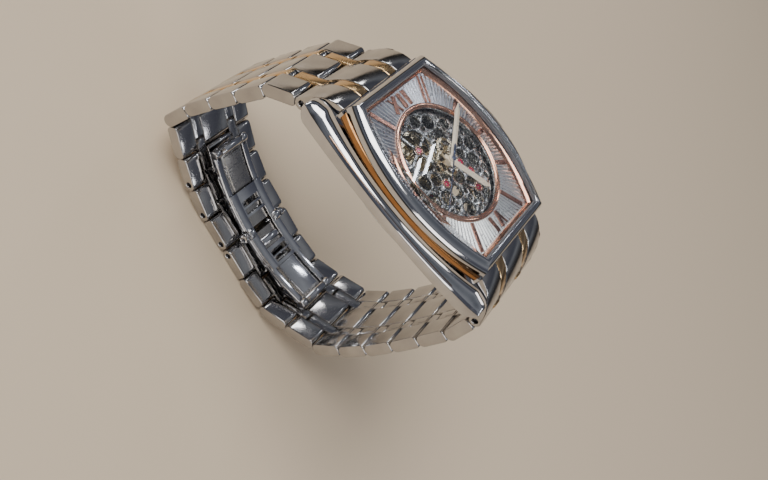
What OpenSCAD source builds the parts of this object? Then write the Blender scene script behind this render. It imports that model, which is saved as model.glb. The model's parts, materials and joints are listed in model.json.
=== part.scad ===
// Skeleton wristwatch on a five-row bracelet, closed, standing on its butterfly clasp.
//
// Dial frame: X points to 3 o'clock, Y to 12 o'clock, Z out of the dial, and the origin
// is on the axis of the hands. Part frame: the dial frame leaned by clasp_lean, +Z up,
// with its origin on the flat under the clasp. All lengths are millimetres.

/* [Case] */
// Width over the bowed sides
case_w = 38.4; // [38:0.1:39]
// Width over the lugs
case_end_w = 29.2; // [29:0.1:30]
// Length from lug tip to lug tip
case_len = 49.2; // [49:0.1:51]
// Bezel width at mid height of the dial
bezel_w = 35.8; // [35.4:0.1:36]
// Bezel width at its straight ends
bezel_end_w = 25.8; // [25.6:0.1:26]
// Bezel length
bezel_len = 38; // [37.8:0.1:38.2]
// Dial opening width
opening_w = 31.2; // [31:0.1:31.4]
// Dial opening width at its ends
opening_end_w = 22.6; // [22.4:0.1:22.8]
// Dial opening length
opening_len = 34.2; // [34:0.1:34.4]
// Radius of the round movement
movement_r = 13.4; // [13.3:0.1:13.5]

/* [Dial and hands] */
// Radius of the round window that shows the movement
window_r = 11.5; // [11.3:0.1:11.7]
// Hour shown by the hands
show_hour = 5; // [0:1:11]
// Minute shown by the hands
show_minute = 10; // [0:1:59]
// Second shown by the thin hand
show_second = 40; // [0:1:59]

/* [Bracelet] */
// Bracelet width at the case
band_w = 25; // [24.8:0.1:25.2]
// Bracelet width at the clasp
clasp_band_w = 21.2; // [21:0.1:21.4]
// Width of the centre row
centre_w = 7.8; // [7.6:0.1:8]
// Width of each rose-gold row
gold_w = 2.6; // [2.5:0.1:2.7]
// Distance between neighbouring hinge pins
pitch = 7.5; // [7.45:0.05:7.55]
// Link thickness
link_t = 2.8; // [2.75:0.05:2.85]
// Direction of each link from the 12 o'clock lugs to the clasp, in degrees from +Y
turn_12 = [-38, -66, -67, -69, -76, -141, -144, -153];
// Direction of the links from the 6 o'clock lugs, in degrees from -Y
turn_6 = [-88, -101, -102, -104, -109, -117, -152];
// Slope of the closed clasp against the dial
clasp_lean = 15; // [14.5:0.25:15.5]

/* [Clasp] */
// Distance from the middle of the clasp to each of its end hinges
clasp_half = 19.2; // [19:0.1:19.3]
// Height of the clasp's end hinges above the flat that it stands on
clasp_hinge_z = 8.1; // [8.05:0.05:8.2]
// Width over the clasp frame
clasp_w = 10.8; // [10.7:0.1:11]

/* [Hidden] */
LINKS_12 = 9;
LINKS_6 = 10;

steel = [0.74, 0.75, 0.78];
dark_steel = [0.42, 0.43, 0.46];
rose_gold = [0.80, 0.55, 0.38];
brass = [0.76, 0.62, 0.32];
ruby = [0.70, 0.08, 0.22];
silver_dial = [0.86, 0.87, 0.88];

FINE = 96;
SMALL = 32;
BOW = 240;

// ---- Bracelet layout -------------------------------------------------------------
half_t = link_t / 2;
link_gap = 0.12;
link_end = half_t + link_gap;
pin_r = 0.5;
pin_fit = 0.02;
hinge_fit = 0.05;
knuckle_r = 1.2;
notch_back = 1.4;
nose = 0.9;
foot_w = 6.2;
gold_x = centre_w / 2 + gold_w / 2;
notch_w = gold_w + 0.16;
start_12 = [25.2, -9.4];
start_6 = [25.8, -10.4];
last_12 = clasp_lean - 180;
last_6 = -clasp_lean - 180;

function step(a) = pitch * [cos(a), sin(a)];
// Hinge number k of a chain that starts at p and follows the directions in turns
function hinge(p, turns, k) = k == 0 ? p : hinge(p, turns, k - 1) + step(turns[k - 1]);

chain_12 = concat(turn_12, [last_12]);
clasp_pin_12 = hinge(start_12, chain_12, LINKS_12);
// Both last pins stand one link end from the middle of the clasp
clasp_pin_6 = clasp_pin_12 + 2 * link_end * [cos(last_12), sin(last_12)];
// The 6 o'clock side, in a frame with Y reversed, ends parallel to the clasp; the two
// links before the last one close the triangle that is left
free_6 = hinge(start_6, turn_6, len(turn_6));
target_6 = [-clasp_pin_6[0], clasp_pin_6[1]] - step(last_6);
closing = target_6 - free_6;
closing_dir = atan2(closing[1], closing[0]) - (closing[1] > 0 ? 360 : 0);
closing_bend = acos(norm(closing) / (2 * pitch));
chain_6 = concat(turn_6, [closing_dir + closing_bend, closing_dir - closing_bend, last_6]);

// Middle of the clasp, and of the flat that carries the watch: the outer face of the
// last link on the 12 o'clock side, which is flat_mid away from the middle of the clasp
clasp_mid = (clasp_pin_12 + clasp_pin_6) / 2;
flat_mid = link_end + (pitch - link_end - nose) / 2;
stand = clasp_mid - flat_mid * [cos(last_12), sin(last_12)]
    + half_t * [sin(clasp_lean), -cos(clasp_lean)];

module in_part_frame() {
    rotate([-clasp_lean, 0, 0])
        translate([0, -stand[0], -stand[1]])
            children();
}

// ---- Shared shapes ---------------------------------------------------------------
// Plan with straight ends and bowed sides
module bowed(mid, end, length) {
    sag = (mid - end) / 2;
    r = (length * length / 4 + sag * sag) / (2 * sag);
    intersection() {
        translate([mid / 2 - r, 0])
            circle(r, $fn = BOW);
        translate([r - mid / 2, 0])
            circle(r, $fn = BOW);
        square([mid + 2, length], center = true);
    }
}

// A plan drawn in X and Y, from height z0 to z1
module slab(z0, z1) {
    translate([0, 0, z0])
        linear_extrude(z1 - z0)
            children();
}

// A profile drawn as Y and Z, extruded along X and centred
module across(w) {
    rotate([90, 0, 90])
        linear_extrude(w, center = true)
            children();
}

module bar_x(r, w, fn = SMALL) {
    rotate([0, 90, 0])
        cylinder(r = r, h = w, center = true, $fn = fn);
}

module mirror_y() {
    children();
    mirror([0, 1, 0])
        children();
}

module mirror_x() {
    children();
    mirror([1, 0, 0])
        children();
}

// ---- Case ------------------------------------------------------------------------
deck_z = -2.9;
bezel_z = -1.5;
dial_top = -1.5;
dial_t = 0.4;
bezel_top = 0.9;
keel_z = -8.6;
back_z = -10.2;
crystal_top = 2.2;
crystal_t = 1.2;
crystal_fall = 1.6;
crystal_gap = 0.1;
stem_z = -5.1;
stem_r = 0.6;
lug_bar = [21.6, -6.6];
bar_r = 0.75;
bar_tip_r = 0.45;
lug_slot = 19.2;
nose_r = 2.5;

// Side view of the case band between its two arched edges
module case_profile() {
    top_fall = 1.7;
    top_r = (24 * 24 + top_fall * top_fall) / (2 * top_fall);
    bottom_z = -6.8;
    bottom_fall = 3;
    bottom_r = (24 * 24 + bottom_fall * bottom_fall) / (2 * bottom_fall);
    difference() {
        intersection() {
            translate([0, deck_z - top_r])
                circle(top_r, $fn = BOW * 2);
            union() {
                translate([0, -8])
                    square([case_len - 2 * nose_r, 16], center = true);
                for (s = [-1, 1])
                    translate([s * (case_len / 2 - nose_r), -6.9])
                        circle(nose_r, $fn = 64);
            }
        }
        translate([0, bottom_z - bottom_r])
            circle(bottom_r, $fn = BOW * 2);
    }
}

module case_middle() color(steel) in_part_frame() {
    lug_hole_depth = 13.8;
    difference() {
        union() {
            intersection() {
                slab(-12, 0)
                    bowed(case_w, case_end_w, case_len);
                across(case_w + 2)
                    case_profile();
            }
            slab(deck_z - 0.5, bezel_z)
                bowed(bezel_w - 1.2, bezel_end_w - 1.2, bezel_len - 0.8);
            slab(keel_z, deck_z - 1)
                bowed(33, 25, 35.2);
        }
        slab(keel_z - 1, 0)
            circle(movement_r + 0.05, $fn = FINE);
        slab(dial_top - dial_t, 0)
            bowed(opening_w + 2, opening_end_w + 1.4, opening_len + 1.2);
        mirror_y() {
            translate([-band_w / 2 - 0.15, lug_slot, -13])
                cube([band_w + 0.3, 10, 14]);
            translate([0, lug_bar[0], lug_bar[1]])
                bar_x(bar_tip_r + 0.05, 2 * lug_hole_depth);
        }
        translate([10, 0, stem_z])
            rotate([0, 90, 0])
                cylinder(r = stem_r + 0.5, h = 12, $fn = SMALL);
        case_screw_places()
            cylinder(r = 0.6, h = 2.4, $fn = SMALL);
    }
}

module case_screw_places() {
    for (sx = [-1, 1], sy = [-1, 1])
        translate([sx * 12.6, sy * 12.6, keel_z])
            children();
}

// Two bowed strips let into the case sides under the bezel
module case_inlay() color(rose_gold) in_part_frame() {
    mirror_x()
        slab(deck_z, bezel_z)
            intersection() {
                difference() {
                    bowed(bezel_w - 0.3, bezel_end_w - 0.3, bezel_len + 4);
                    bowed(bezel_w - 1.2, bezel_end_w - 1.2, bezel_len + 4);
                }
                translate([5, -bezel_len / 2 + 0.4])
                    square([20, bezel_len - 0.8]);
            }
}

module bezel() color(steel) in_part_frame() {
    difference() {
        union() {
            slab(bezel_z, -0.4)
                bowed(bezel_w, bezel_end_w, bezel_len);
            slab(-0.4, 0.4)
                bowed(bezel_w - 0.6, bezel_end_w - 0.6, bezel_len - 0.5);
            slab(0.4, bezel_top)
                bowed(bezel_w - 1.6, bezel_end_w - 1.6, bezel_len - 1.2);
        }
        slab(bezel_z - 1, bezel_top + 1)
            bowed(opening_w, opening_end_w, opening_len);
    }
}

// Cylindrical dome along the length of the dial
module crystal() color([0.8, 0.9, 0.95, 0.3]) in_part_frame() {
    half = opening_len / 2 - 0.3;
    dome_r = (half * half + crystal_fall * crystal_fall) / (2 * crystal_fall);
    intersection() {
        slab(-2, 4)
            bowed(opening_w - 0.6, opening_end_w - 0.6, opening_len - 0.6);
        translate([0, 0, crystal_top - dome_r])
            difference() {
                bar_x(dome_r, case_w, BOW * 2);
                bar_x(dome_r - crystal_t, case_w + 2, BOW * 2);
            }
    }
}

// The ring round the crystal and the ring under the back glass
module gaskets() color([0.15, 0.15, 0.16]) in_part_frame() {
    slab(-0.3, bezel_top - 0.5)
        difference() {
            bowed(opening_w - 0.05, opening_end_w - 0.05, opening_len - 0.05);
            bowed(opening_w - 0.55, opening_end_w - 0.55, opening_len - 0.55);
        }
    translate([0, 0, -8.95])
        rotate_extrude($fn = FINE)
            translate([12.0, 0])
                square([0.3, 0.25]);
}

// Sloping rose-gold frame between dial and crystal
module dial_flange() color(rose_gold) in_part_frame() {
    slab(dial_top, -0.95)
        difference() {
            bowed(opening_w - 0.1, opening_end_w - 0.1, opening_len - 0.1);
            bowed(opening_w - 1.7, opening_end_w - 1.7, opening_len - 1.7);
        }
    slab(-0.95, -0.65)
        difference() {
            bowed(opening_w - 0.1, opening_end_w - 0.1, opening_len - 0.1);
            bowed(opening_w - 1.0, opening_end_w - 1.0, opening_len - 1.0);
        }
}

module dial() color(silver_dial) in_part_frame() {
    slab(dial_top - dial_t, dial_top)
        difference() {
            bowed(opening_w + 1.8, opening_end_w + 1.2, opening_len + 1);
            circle(window_r, $fn = FINE);
        }
}

module aperture_ring() color(rose_gold) in_part_frame() {
    slab(dial_top, dial_top + 0.3)
        difference() {
            circle(window_r + 0.9, $fn = FINE);
            circle(window_r, $fn = FINE);
        }
}

// One stroke of a numeral, w wide, from (x0, y0) to (x1, y1)
module stroke(x0, y0, x1, y1, w) {
    length = norm([x1 - x0, y1 - y0]);
    translate([(x0 + x1) / 2, (y0 + y1) / 2])
        rotate(atan2(y1 - y0, x1 - x0))
            square([length, w], center = true);
}

// Bars at ten hours and the numerals XII and VI
module hour_markers() color(rose_gold) in_part_frame() {
    inner = window_r + 1.2;
    low = inner;
    high = opening_len / 2 - 1.2;
    slab(dial_top, dial_top + 0.35) {
        intersection() {
            bowed(opening_w - 2.6, opening_end_w - 2.6, opening_len - 2.6);
            for (h = [1, 2, 3, 4, 5, 7, 8, 9, 10, 11])
                rotate(-30 * h)
                    translate([-0.5, inner])
                        square([1, 8]);
        }
        stroke(-2.9, low, -0.9, high, 0.8);
        stroke(-0.9, low, -2.9, high, 0.5);
        stroke(0.4, low, 0.4, high, 0.8);
        stroke(1.9, low, 1.9, high, 0.8);
        stroke(1.2, -low, 2.1, -high, 0.5);
        stroke(1.2, -low, 0.3, -high, 0.8);
        stroke(-1.4, -low, -1.4, -high, 0.8);
    }
}

module case_back() color(steel) in_part_frame() {
    difference() {
        slab(back_z, keel_z)
            bowed(31.6, 23.8, 33.4);
        slab(back_z - 1, keel_z + 1)
            circle(11.2, $fn = FINE);
        slab(-9.5, keel_z + 1)
            circle(12.4, $fn = FINE);
        case_screw_places()
            translate([0, 0, -3])
                cylinder(r = 0.7, h = 4, $fn = SMALL);
        case_screw_places()
            translate([0, 0, -3])
                cylinder(r = 1.15, h = 2, $fn = SMALL);
    }
}

module back_crystal() color([0.8, 0.9, 0.95, 0.3]) in_part_frame() {
    slab(-9.5, -8.95)
        circle(12.35, $fn = FINE);
}

// ---- Movement layout -------------------------------------------------------------
// Tooth counts: centre wheel, third, fourth, escape, barrel and motion work
Z_BARREL = 78;
Z_CENTER_PINION = 12;
Z_CENTER = 80;
Z_THIRD_PINION = 10;
Z_THIRD = 75;
Z_FOURTH_PINION = 10;
Z_FOURTH = 70;
Z_ESCAPE_PINION = 7;
Z_ESCAPE = 15;
Z_CANNON = 12;
Z_MINUTE = 36;
Z_MINUTE_PINION = 10;
Z_HOUR = 40;
M_BARREL = 0.14;
M_CENTER = 0.097;
M_THIRD = M_CENTER * (Z_CENTER + Z_THIRD_PINION) / (Z_THIRD + Z_FOURTH_PINION);
M_FOURTH = 0.11;
M_MOTION = 0.14;
M_HOUR = M_MOTION * (Z_CANNON + Z_MINUTE) / (Z_MINUTE_PINION + Z_HOUR);

dir_barrel = 125;
dir_third = 219;
dir_escape = -23;
dir_minute = 35;
function polar(r, a) = [r * cos(a), r * sin(a)];
at_barrel = polar(M_BARREL * (Z_BARREL + Z_CENTER_PINION) / 2, dir_barrel);
at_third = polar(M_CENTER * (Z_CENTER + Z_THIRD_PINION) / 2, dir_third);
at_escape = polar(M_FOURTH * (Z_FOURTH + Z_ESCAPE_PINION) / 2, dir_escape);
at_minute = polar(M_MOTION * (Z_CANNON + Z_MINUTE) / 2, dir_minute);
at_pallet = at_escape + polar(2.75, -69);
at_balance = at_pallet + polar(3.55, -114);

// Turn of gear B so that one of its gaps faces the tooth of gear A in direction d
function mesh(za, turn_a, zb, d) = d + 180 + ((d - turn_a) * za / 360 + 0.5) * 360 / zb;
turn_barrel = mesh(Z_CENTER_PINION, 0, Z_BARREL, dir_barrel);
turn_third_pinion = mesh(Z_CENTER, 0, Z_THIRD_PINION, dir_third);
turn_fourth_pinion = mesh(Z_THIRD, 0, Z_FOURTH_PINION, dir_third + 180);
turn_escape_pinion = mesh(Z_FOURTH, 0, Z_ESCAPE_PINION, dir_escape);
turn_minute = mesh(Z_CANNON, 0, Z_MINUTE, dir_minute);
turn_hour = mesh(Z_MINUTE_PINION, 0, Z_HOUR, dir_minute + 180);

plate_top = -2.5;
plate_bottom = -3.3;
bridge_top = -6.9;
bridge_bottom = -7.6;
pivot_r = 0.2;

// Outline of a fine-toothed gear: root, flank, tip and flank of every tooth
function tooth(m, z, i, turn) = let (
        pitch_angle = 360 / z,
        a = turn + i * pitch_angle,
        root = m * (z / 2 - 1.15),
        tip = m * (z / 2 + 0.75))
    [polar(root, a - 0.25 * pitch_angle), polar(tip, a - 0.1 * pitch_angle),
     polar(tip, a + 0.1 * pitch_angle), polar(root, a + 0.25 * pitch_angle)];

module gear_plan(m, z, turn = 0) {
    polygon([for (i = [0 : z - 1]) each tooth(m, z, i, turn)]);
}

// Spoked wheel with a toothed rim
module wheel_plan(m, z, turn, spokes, hub) {
    rim = m * (z / 2 - 1.15) - 0.45;
    difference() {
        gear_plan(m, z, turn);
        difference() {
            circle(rim, $fn = 64);
            circle(hub, $fn = SMALL);
            for (i = [0 : spokes - 1])
                rotate(i * 360 / spokes)
                    translate([0, -0.16])
                        square([rim + 0.2, 0.32]);
        }
    }
}

module at(p) {
    translate([p[0], p[1], 0])
        children();
}

module arbor(z0, z1, r) {
    slab(z0, z1)
        circle(r, $fn = SMALL);
}

pivots = [[0, 0], at_barrel, at_third, at_escape, at_pallet, at_balance];

// Openwork plate behind the dial, with its deep rim
module main_plate() color([0.8, 0.8, 0.8]) in_part_frame() {
    difference() {
        union() {
            slab(bridge_top, plate_top)
                difference() {
                    circle(movement_r, $fn = FINE);
                    circle(12, $fn = FINE);
                }
            slab(plate_bottom, plate_top)
                intersection() {
                    circle(12.5, $fn = FINE);
                    union() {
                        plate_web();
                        for (p = pivots)
                            translate(p)
                                circle(1.15, $fn = SMALL);
                    }
                }
        }
        slab(-8, 0)
            circle(0.95, $fn = SMALL);
        for (i = [1 : len(pivots) - 1])
            at(pivots[i])
                slab(-8, 0)
                    circle(0.55, $fn = SMALL);
        at(at_minute)
            slab(-8, 0)
                circle(0.32, $fn = SMALL);
        translate([9, 0, stem_z])
            rotate([0, 90, 0])
                cylinder(r = stem_r + 0.1, h = 6, $fn = SMALL);
    }
}

// Curved arms that tie the pivots to the rim
module plate_web() {
    for (a = [10, 62, 100, 150, 196, 236, 262, 300, 334])
        rotate(a)
            translate([0, -0.55])
                square([12.2, 1.1]);
    difference() {
        circle(7.6, $fn = 64);
        circle(6.6, $fn = 64);
    }
    circle(2, $fn = SMALL);
    at_flat(at_minute)
        circle(0.9, $fn = SMALL);
    at_flat(at_balance)
        difference() {
            circle(3.6, $fn = 48);
            circle(2.9, $fn = 48);
        }
    at_flat(at_barrel)
        difference() {
            circle(4.4, $fn = 48);
            circle(3.4, $fn = 48);
        }
}

module at_flat(p) {
    translate(p)
        children();
}

// Half plane on the left of the line through the centre in direction a
module side_of(a, offset) {
    rotate(a)
        translate([-20, offset])
            square([40, 40]);
}

module bridge_screw_spots(list) {
    for (a = list)
        translate(polar(12.2, a))
            children();
}

module barrel_bridge() color([0.8, 0.8, 0.8]) in_part_frame() {
    slab(bridge_bottom, bridge_top)
        difference() {
            intersection() {
                circle(12.9, $fn = FINE);
                side_of(0, 0.9);
            }
            translate(at_barrel)
                circle(0.55, $fn = SMALL);
            for (a = [30, 52, 92, 158])
                translate(polar(8.7, a))
                    circle(1.5, $fn = SMALL);
            translate(polar(4.2, 60))
                circle(1.2, $fn = SMALL);
            bridge_screw_spots([12, 90, 168])
                circle(0.35, $fn = SMALL);
        }
}

module train_bridge() color([0.8, 0.8, 0.8]) in_part_frame() {
    slab(bridge_bottom, bridge_top)
        difference() {
            // The lobe in the middle carries the rotor bearing and the fourth arbor
            intersection() {
                circle(12.9, $fn = FINE);
                side_of(180, -0.7);
                union() {
                    side_of(98, 0.3);
                    circle(1.9, $fn = SMALL);
                }
            }
            circle(0.3, $fn = SMALL);
            translate(at_third)
                circle(0.55, $fn = SMALL);
            for (a = [204, 226, 248])
                translate(polar(9.2, a))
                    circle(1.3, $fn = SMALL);
            bridge_screw_spots([192, 255])
                circle(0.35, $fn = SMALL);
        }
}

module balance_cock() color([0.8, 0.8, 0.8]) in_part_frame() {
    slab(bridge_bottom, bridge_top)
        difference() {
            intersection() {
                circle(12.9, $fn = FINE);
                side_of(180, -0.7);
                side_of(278, 0.4);
            }
            circle(2.2, $fn = SMALL);
            for (p = [at_escape, at_pallet, at_balance])
                translate(p)
                    circle(0.55, $fn = SMALL);
            translate(at_balance)
                difference() {
                    circle(2.8, $fn = 48);
                    circle(1.2, $fn = SMALL);
                    rotate(20)
                        translate([0, -0.6])
                            square([4, 1.2]);
                    rotate(160)
                        translate([0, -0.6])
                            square([4, 1.2]);
                }
            bridge_screw_spots([300, 345])
                circle(0.35, $fn = SMALL);
        }
}

// Ring-shaped bearings pressed into plate and bridges
module jewels() color(ruby) in_part_frame() {
    for (i = [1 : len(pivots) - 1])
        for (z = [[plate_bottom + 0.2, plate_top], [bridge_bottom, bridge_top - 0.2]])
            at(pivots[i])
                slab(z[0], z[1])
                    difference() {
                        circle(0.54, $fn = SMALL);
                        circle(pivot_r + 0.04, $fn = SMALL);
                    }
}

// Bridge screws and the four screws of the case back
module screws() color(dark_steel) in_part_frame() {
    for (a = [12, 90, 168, 192, 255, 300, 345])
        translate([polar(12.2, a)[0], polar(12.2, a)[1], 0]) {
            arbor(bridge_bottom - 0.25, bridge_bottom, 0.55);
            arbor(bridge_bottom, bridge_top, 0.33);
        }
    case_screw_places() {
        translate([0, 0, -1])
            cylinder(r = 0.55, h = 3, $fn = SMALL);
        translate([0, 0, -1.55])
            cylinder(r = 1.1, h = 0.55, $fn = SMALL);
    }
}

// ---- Going train -----------------------------------------------------------------
module barrel() color(brass) in_part_frame() at(at_barrel) {
    slab(-5.4, -4.9)
        difference() {
            gear_plan(M_BARREL, Z_BARREL, turn_barrel);
            circle(4.6, $fn = 64);
        }
    slab(-5.6, -4.45)
        difference() {
            circle(4.95, $fn = 64);
            circle(4.6, $fn = 64);
        }
    slab(-5.6, -5.45)
        difference() {
            circle(4.6, $fn = 64);
            circle(0.6, $fn = SMALL);
        }
    arbor(-5.6, -4.45, 0.6);
    arbor(bridge_bottom + 0.05, -5.6, pivot_r);
    arbor(-4.45, plate_top - 0.05, pivot_r);
    // Wound mainspring, drawn as the closed coil that it forms
    slab(-5.4, -4.5)
        difference() {
            circle(4.5, $fn = 64);
            circle(2.4, $fn = 48);
        }
}

module center_wheel() color(brass) in_part_frame() {
    difference() {
        union() {
            slab(-5.5, -4.75)
                gear_plan(M_BARREL, Z_CENTER_PINION);
            slab(-4.75, -4.15)
                circle(0.75, $fn = SMALL);
            slab(-4.15, -3.9)
                wheel_plan(M_CENTER, Z_CENTER, 0, 5, 1);
            arbor(-3.9, -2.44, 0.6);
            slab(-2.44, -2.24)
                gear_plan(M_MOTION, Z_CANNON);
            arbor(-2.24, -0.45, 0.42);
        }
        slab(-7, 1)
            circle(0.24, $fn = SMALL);
    }
}

module third_wheel() color(brass) in_part_frame() at(at_third) {
    slab(-4.5, -3.6)
        gear_plan(M_CENTER, Z_THIRD_PINION, turn_third_pinion);
    arbor(-5.8, -4.5, 0.4);
    slab(-6.05, -5.8)
        wheel_plan(M_THIRD, Z_THIRD, 0, 5, 0.8);
    arbor(bridge_bottom + 0.05, -6.05, pivot_r);
    arbor(-3.6, plate_top - 0.05, pivot_r);
}

module fourth_wheel() color(brass) in_part_frame() {
    slab(-6.15, -5.7)
        gear_plan(M_THIRD, Z_FOURTH_PINION, turn_fourth_pinion);
    slab(-6.55, -6.3)
        wheel_plan(M_FOURTH, Z_FOURTH, 0, 4, 0.8);
    arbor(-6.3, -6.15, 0.5);
    arbor(bridge_bottom + 0.05, -6.55, 0.25);
    arbor(-5.7, -0.05, 0.18);
}

// Fifteen slanted teeth on a light rim
module escape_wheel() color(steel) in_part_frame() at(at_escape) {
    slab(-6.7, -6.1)
        gear_plan(M_FOURTH, Z_ESCAPE_PINION, turn_escape_pinion);
    slab(-5.25, -5.05)
        difference() {
            polygon([for (i = [0 : Z_ESCAPE - 1]) each let (a = i * 360 / Z_ESCAPE)
                [polar(1.5, a), polar(1.95, a + 9), polar(2.0, a + 12), polar(1.5, a + 14)]]);
            difference() {
                circle(1.25, $fn = SMALL);
                circle(0.5, $fn = SMALL);
                for (i = [0 : 3])
                    rotate(i * 90)
                        translate([0, -0.14])
                            square([1.4, 0.28]);
            }
        }
    arbor(bridge_bottom + 0.05, -6.7, pivot_r);
    arbor(-6.1, plate_top - 0.05, pivot_r);
}

// Lever with two ruby pallets towards the escape wheel and a fork at its far end
module pallet_fork() color(steel) in_part_frame() at(at_pallet) {
    to_escape = atan2(at_escape[1] - at_pallet[1], at_escape[0] - at_pallet[0]);
    to_balance = atan2(at_balance[1] - at_pallet[1], at_balance[0] - at_pallet[0]);
    slab(-5.25, -5.05) {
        circle(0.45, $fn = SMALL);
        rotate(to_balance)
            translate([0, -0.15])
                square([2.4, 0.3]);
        for (s = [-1, 1])
            rotate(to_balance)
                translate([2.3, s * 0.22 - 0.07])
                    square([0.45, 0.14]);
        for (s = [-1, 1])
            rotate(to_escape + s * 62)
                translate([0, -0.15])
                    square([1.75, 0.3]);
        for (s = [-1, 1])
            rotate(to_escape)
                translate([0.6, s * 1.5 - 0.16])
                    square([0.45, 0.32]);
    }
    arbor(bridge_bottom + 0.05, -5.25, pivot_r);
    arbor(-5.05, plate_top - 0.05, pivot_r);
}

module balance_wheel() color(brass) in_part_frame() at(at_balance) {
    slab(-4.85, -4.45)
        difference() {
            circle(3.1, $fn = 64);
            difference() {
                circle(2.6, $fn = 64);
                circle(0.55, $fn = SMALL);
                for (i = [0 : 2])
                    rotate(i * 120 + 15)
                        translate([0, -0.2])
                            square([2.8, 0.4]);
            }
        }
    arbor(-5.3, -4.85, 0.35);
    arbor(bridge_bottom + 0.05, -5.3, pivot_r);
    arbor(-4.45, plate_top - 0.05, pivot_r);
}

// Flat spiral from the collet to the stud, drawn as rings that share one stud bar
module hairspring() color([0.35, 0.4, 0.6]) in_part_frame() at(at_balance) {
    slab(-6.1, -5.9) {
        for (r = [0.6, 0.95, 1.3, 1.65])
            difference() {
                circle(r + 0.05, $fn = 48);
                circle(r - 0.05, $fn = 48);
            }
        rotate(90)
            translate([0.58, -0.06])
                square([1.5, 0.12]);
    }
    slab(bridge_top, -5.8)
        rotate(90)
            translate([2.05, 0])
                circle(0.22, $fn = SMALL);
}

// Half-disc winding weight on a ball bearing
module rotor() color([0.7, 0.7, 0.7]) in_part_frame() {
    slab(-8.2, -7.95)
        difference() {
            union() {
                circle(2.2, $fn = 48);
                intersection() {
                    circle(12.2, $fn = FINE);
                    translate([-20, 0])
                        square([40, 20]);
                }
            }
            for (a = [50, 90, 130])
                translate(polar(6.4, a))
                    circle(1.9, $fn = SMALL);
        }
    slab(-8.5, -8.2)
        intersection() {
            difference() {
                circle(12.2, $fn = FINE);
                circle(9.8, $fn = FINE);
            }
            translate([-20, 0])
                square([40, 20]);
        }
    slab(-7.95, -7.65)
        circle(0.9, $fn = SMALL);
}

// ---- Motion work and hands -------------------------------------------------------
hour_turn = -(show_hour * 30 + show_minute * 0.5);
minute_turn = -show_minute * 6;
second_turn = -show_second * 6;

module minute_wheel() color(brass) in_part_frame() at(at_minute) {
    slab(-2.42, -2.26)
        wheel_plan(M_MOTION, Z_MINUTE, turn_minute, 4, 0.8);
    slab(-2.26, -1.93)
        gear_plan(M_HOUR, Z_MINUTE_PINION);
    arbor(plate_bottom, -2.42, 0.28);
}

// Tapered hand with a slot, pointing to +Y
module hand_plan(length, w, tail, boss, slot) {
    difference() {
        union() {
            circle(boss, $fn = SMALL);
            polygon([[-w / 2, 0], [-w / 2, length * 0.75], [0, length], [w / 2, length * 0.75],
                [w / 2, 0], [w / 3, -tail], [-w / 3, -tail]]);
        }
        translate([-slot / 2, length * 0.35])
            square([slot, length * 0.35]);
    }
}

module hour_hand() color(rose_gold) in_part_frame() {
    difference() {
        union() {
            slab(-0.86, -0.66)
                rotate(hour_turn)
                    hand_plan(9.8, 1.3, 1.4, 0.9, 0.5);
            slab(-2.14, -1.95)
                wheel_plan(M_HOUR, Z_HOUR, turn_hour, 5, 0.9);
            arbor(-1.95, -0.86, 0.68);
        }
        slab(-3, 0)
            circle(0.47, $fn = SMALL);
    }
}

module minute_hand() color(rose_gold) in_part_frame() {
    difference() {
        slab(-0.45, -0.3)
            rotate(minute_turn)
                hand_plan(14.4, 1.2, 1.8, 0.8, 0.45);
        slab(-3, 1)
            circle(0.24, $fn = SMALL);
    }
}

module seconds_hand() color(dark_steel) in_part_frame() {
    slab(-0.05, 0.07)
        rotate(second_turn)
            hand_plan(13.4, 0.28, 3.6, 0.5, 0.02);
}

// ---- Crown -----------------------------------------------------------------------
crown_x = 19.35;
crown_len = 3;
crown_r = 2.9;

module along_x(x0) {
    translate([x0, 0, stem_z])
        rotate([0, 90, 0])
            children();
}

module crown() color(steel) in_part_frame() {
    along_x(crown_x)
        difference() {
            rotate_extrude($fn = 64)
                polygon([[0, 0], [crown_r - 0.3, 0], [crown_r, 0.3], [crown_r, crown_len - 0.5],
                    [crown_r - 0.5, crown_len], [0, crown_len]]);
            translate([0, 0, -0.1])
                cylinder(r = 1.5, h = 1.3, $fn = SMALL);
            for (i = [0 : 23])
                rotate(i * 15)
                    translate([crown_r + 0.12, 0, -1])
                        cylinder(r = 0.28, h = crown_len + 2, $fn = 16);
        }
}

module winding_stem() color(steel) in_part_frame() {
    along_x(9.5)
        cylinder(r = stem_r, h = crown_x + 1.2 - 9.5, $fn = SMALL);
}

module crown_gasket() color([0.12, 0.12, 0.12]) in_part_frame() {
    along_x(crown_x + 0.3)
        difference() {
            cylinder(r = 1.45, h = 0.8, $fn = FINE);
            translate([0, 0, -1])
                cylinder(r = stem_r + 0.04, h = 3, $fn = FINE);
        }
}

// ---- End links and spring bars -----------------------------------------------------
// Through cuts that take the tabs of the next link, about a hinge at the origin
module tab_notches(back = notch_back) {
    for (s = [-1, 1])
        translate([s * gold_x - notch_w / 2, -back, -8])
            cube([notch_w, 14, 16]);
}

// Through cut in a last link that takes the foot of a clasp blade
module foot_notch() {
    translate([-foot_w / 2 - 0.08, -notch_back, -8])
        cube([foot_w + 0.16, 14, 16]);
}

// Gold strips laid in the two narrow rows between y0 and y1
module gold_strips(y0, y1) {
    for (s = [-1, 1])
        translate([s * gold_x - gold_w / 2, y0, half_t - 0.5])
            cube([gold_w, y1 - y0, 0.45]);
}

// Band along the outer curve of an end link, between two distances from that curve
module end_band(curve, over, under) {
    out = [0.6, 0.8];
    n = len(curve);
    polygon(concat([for (p = curve) p + over * out],
        [for (i = [n - 1:-1:0]) curve[i] - under * out]));
}

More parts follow.
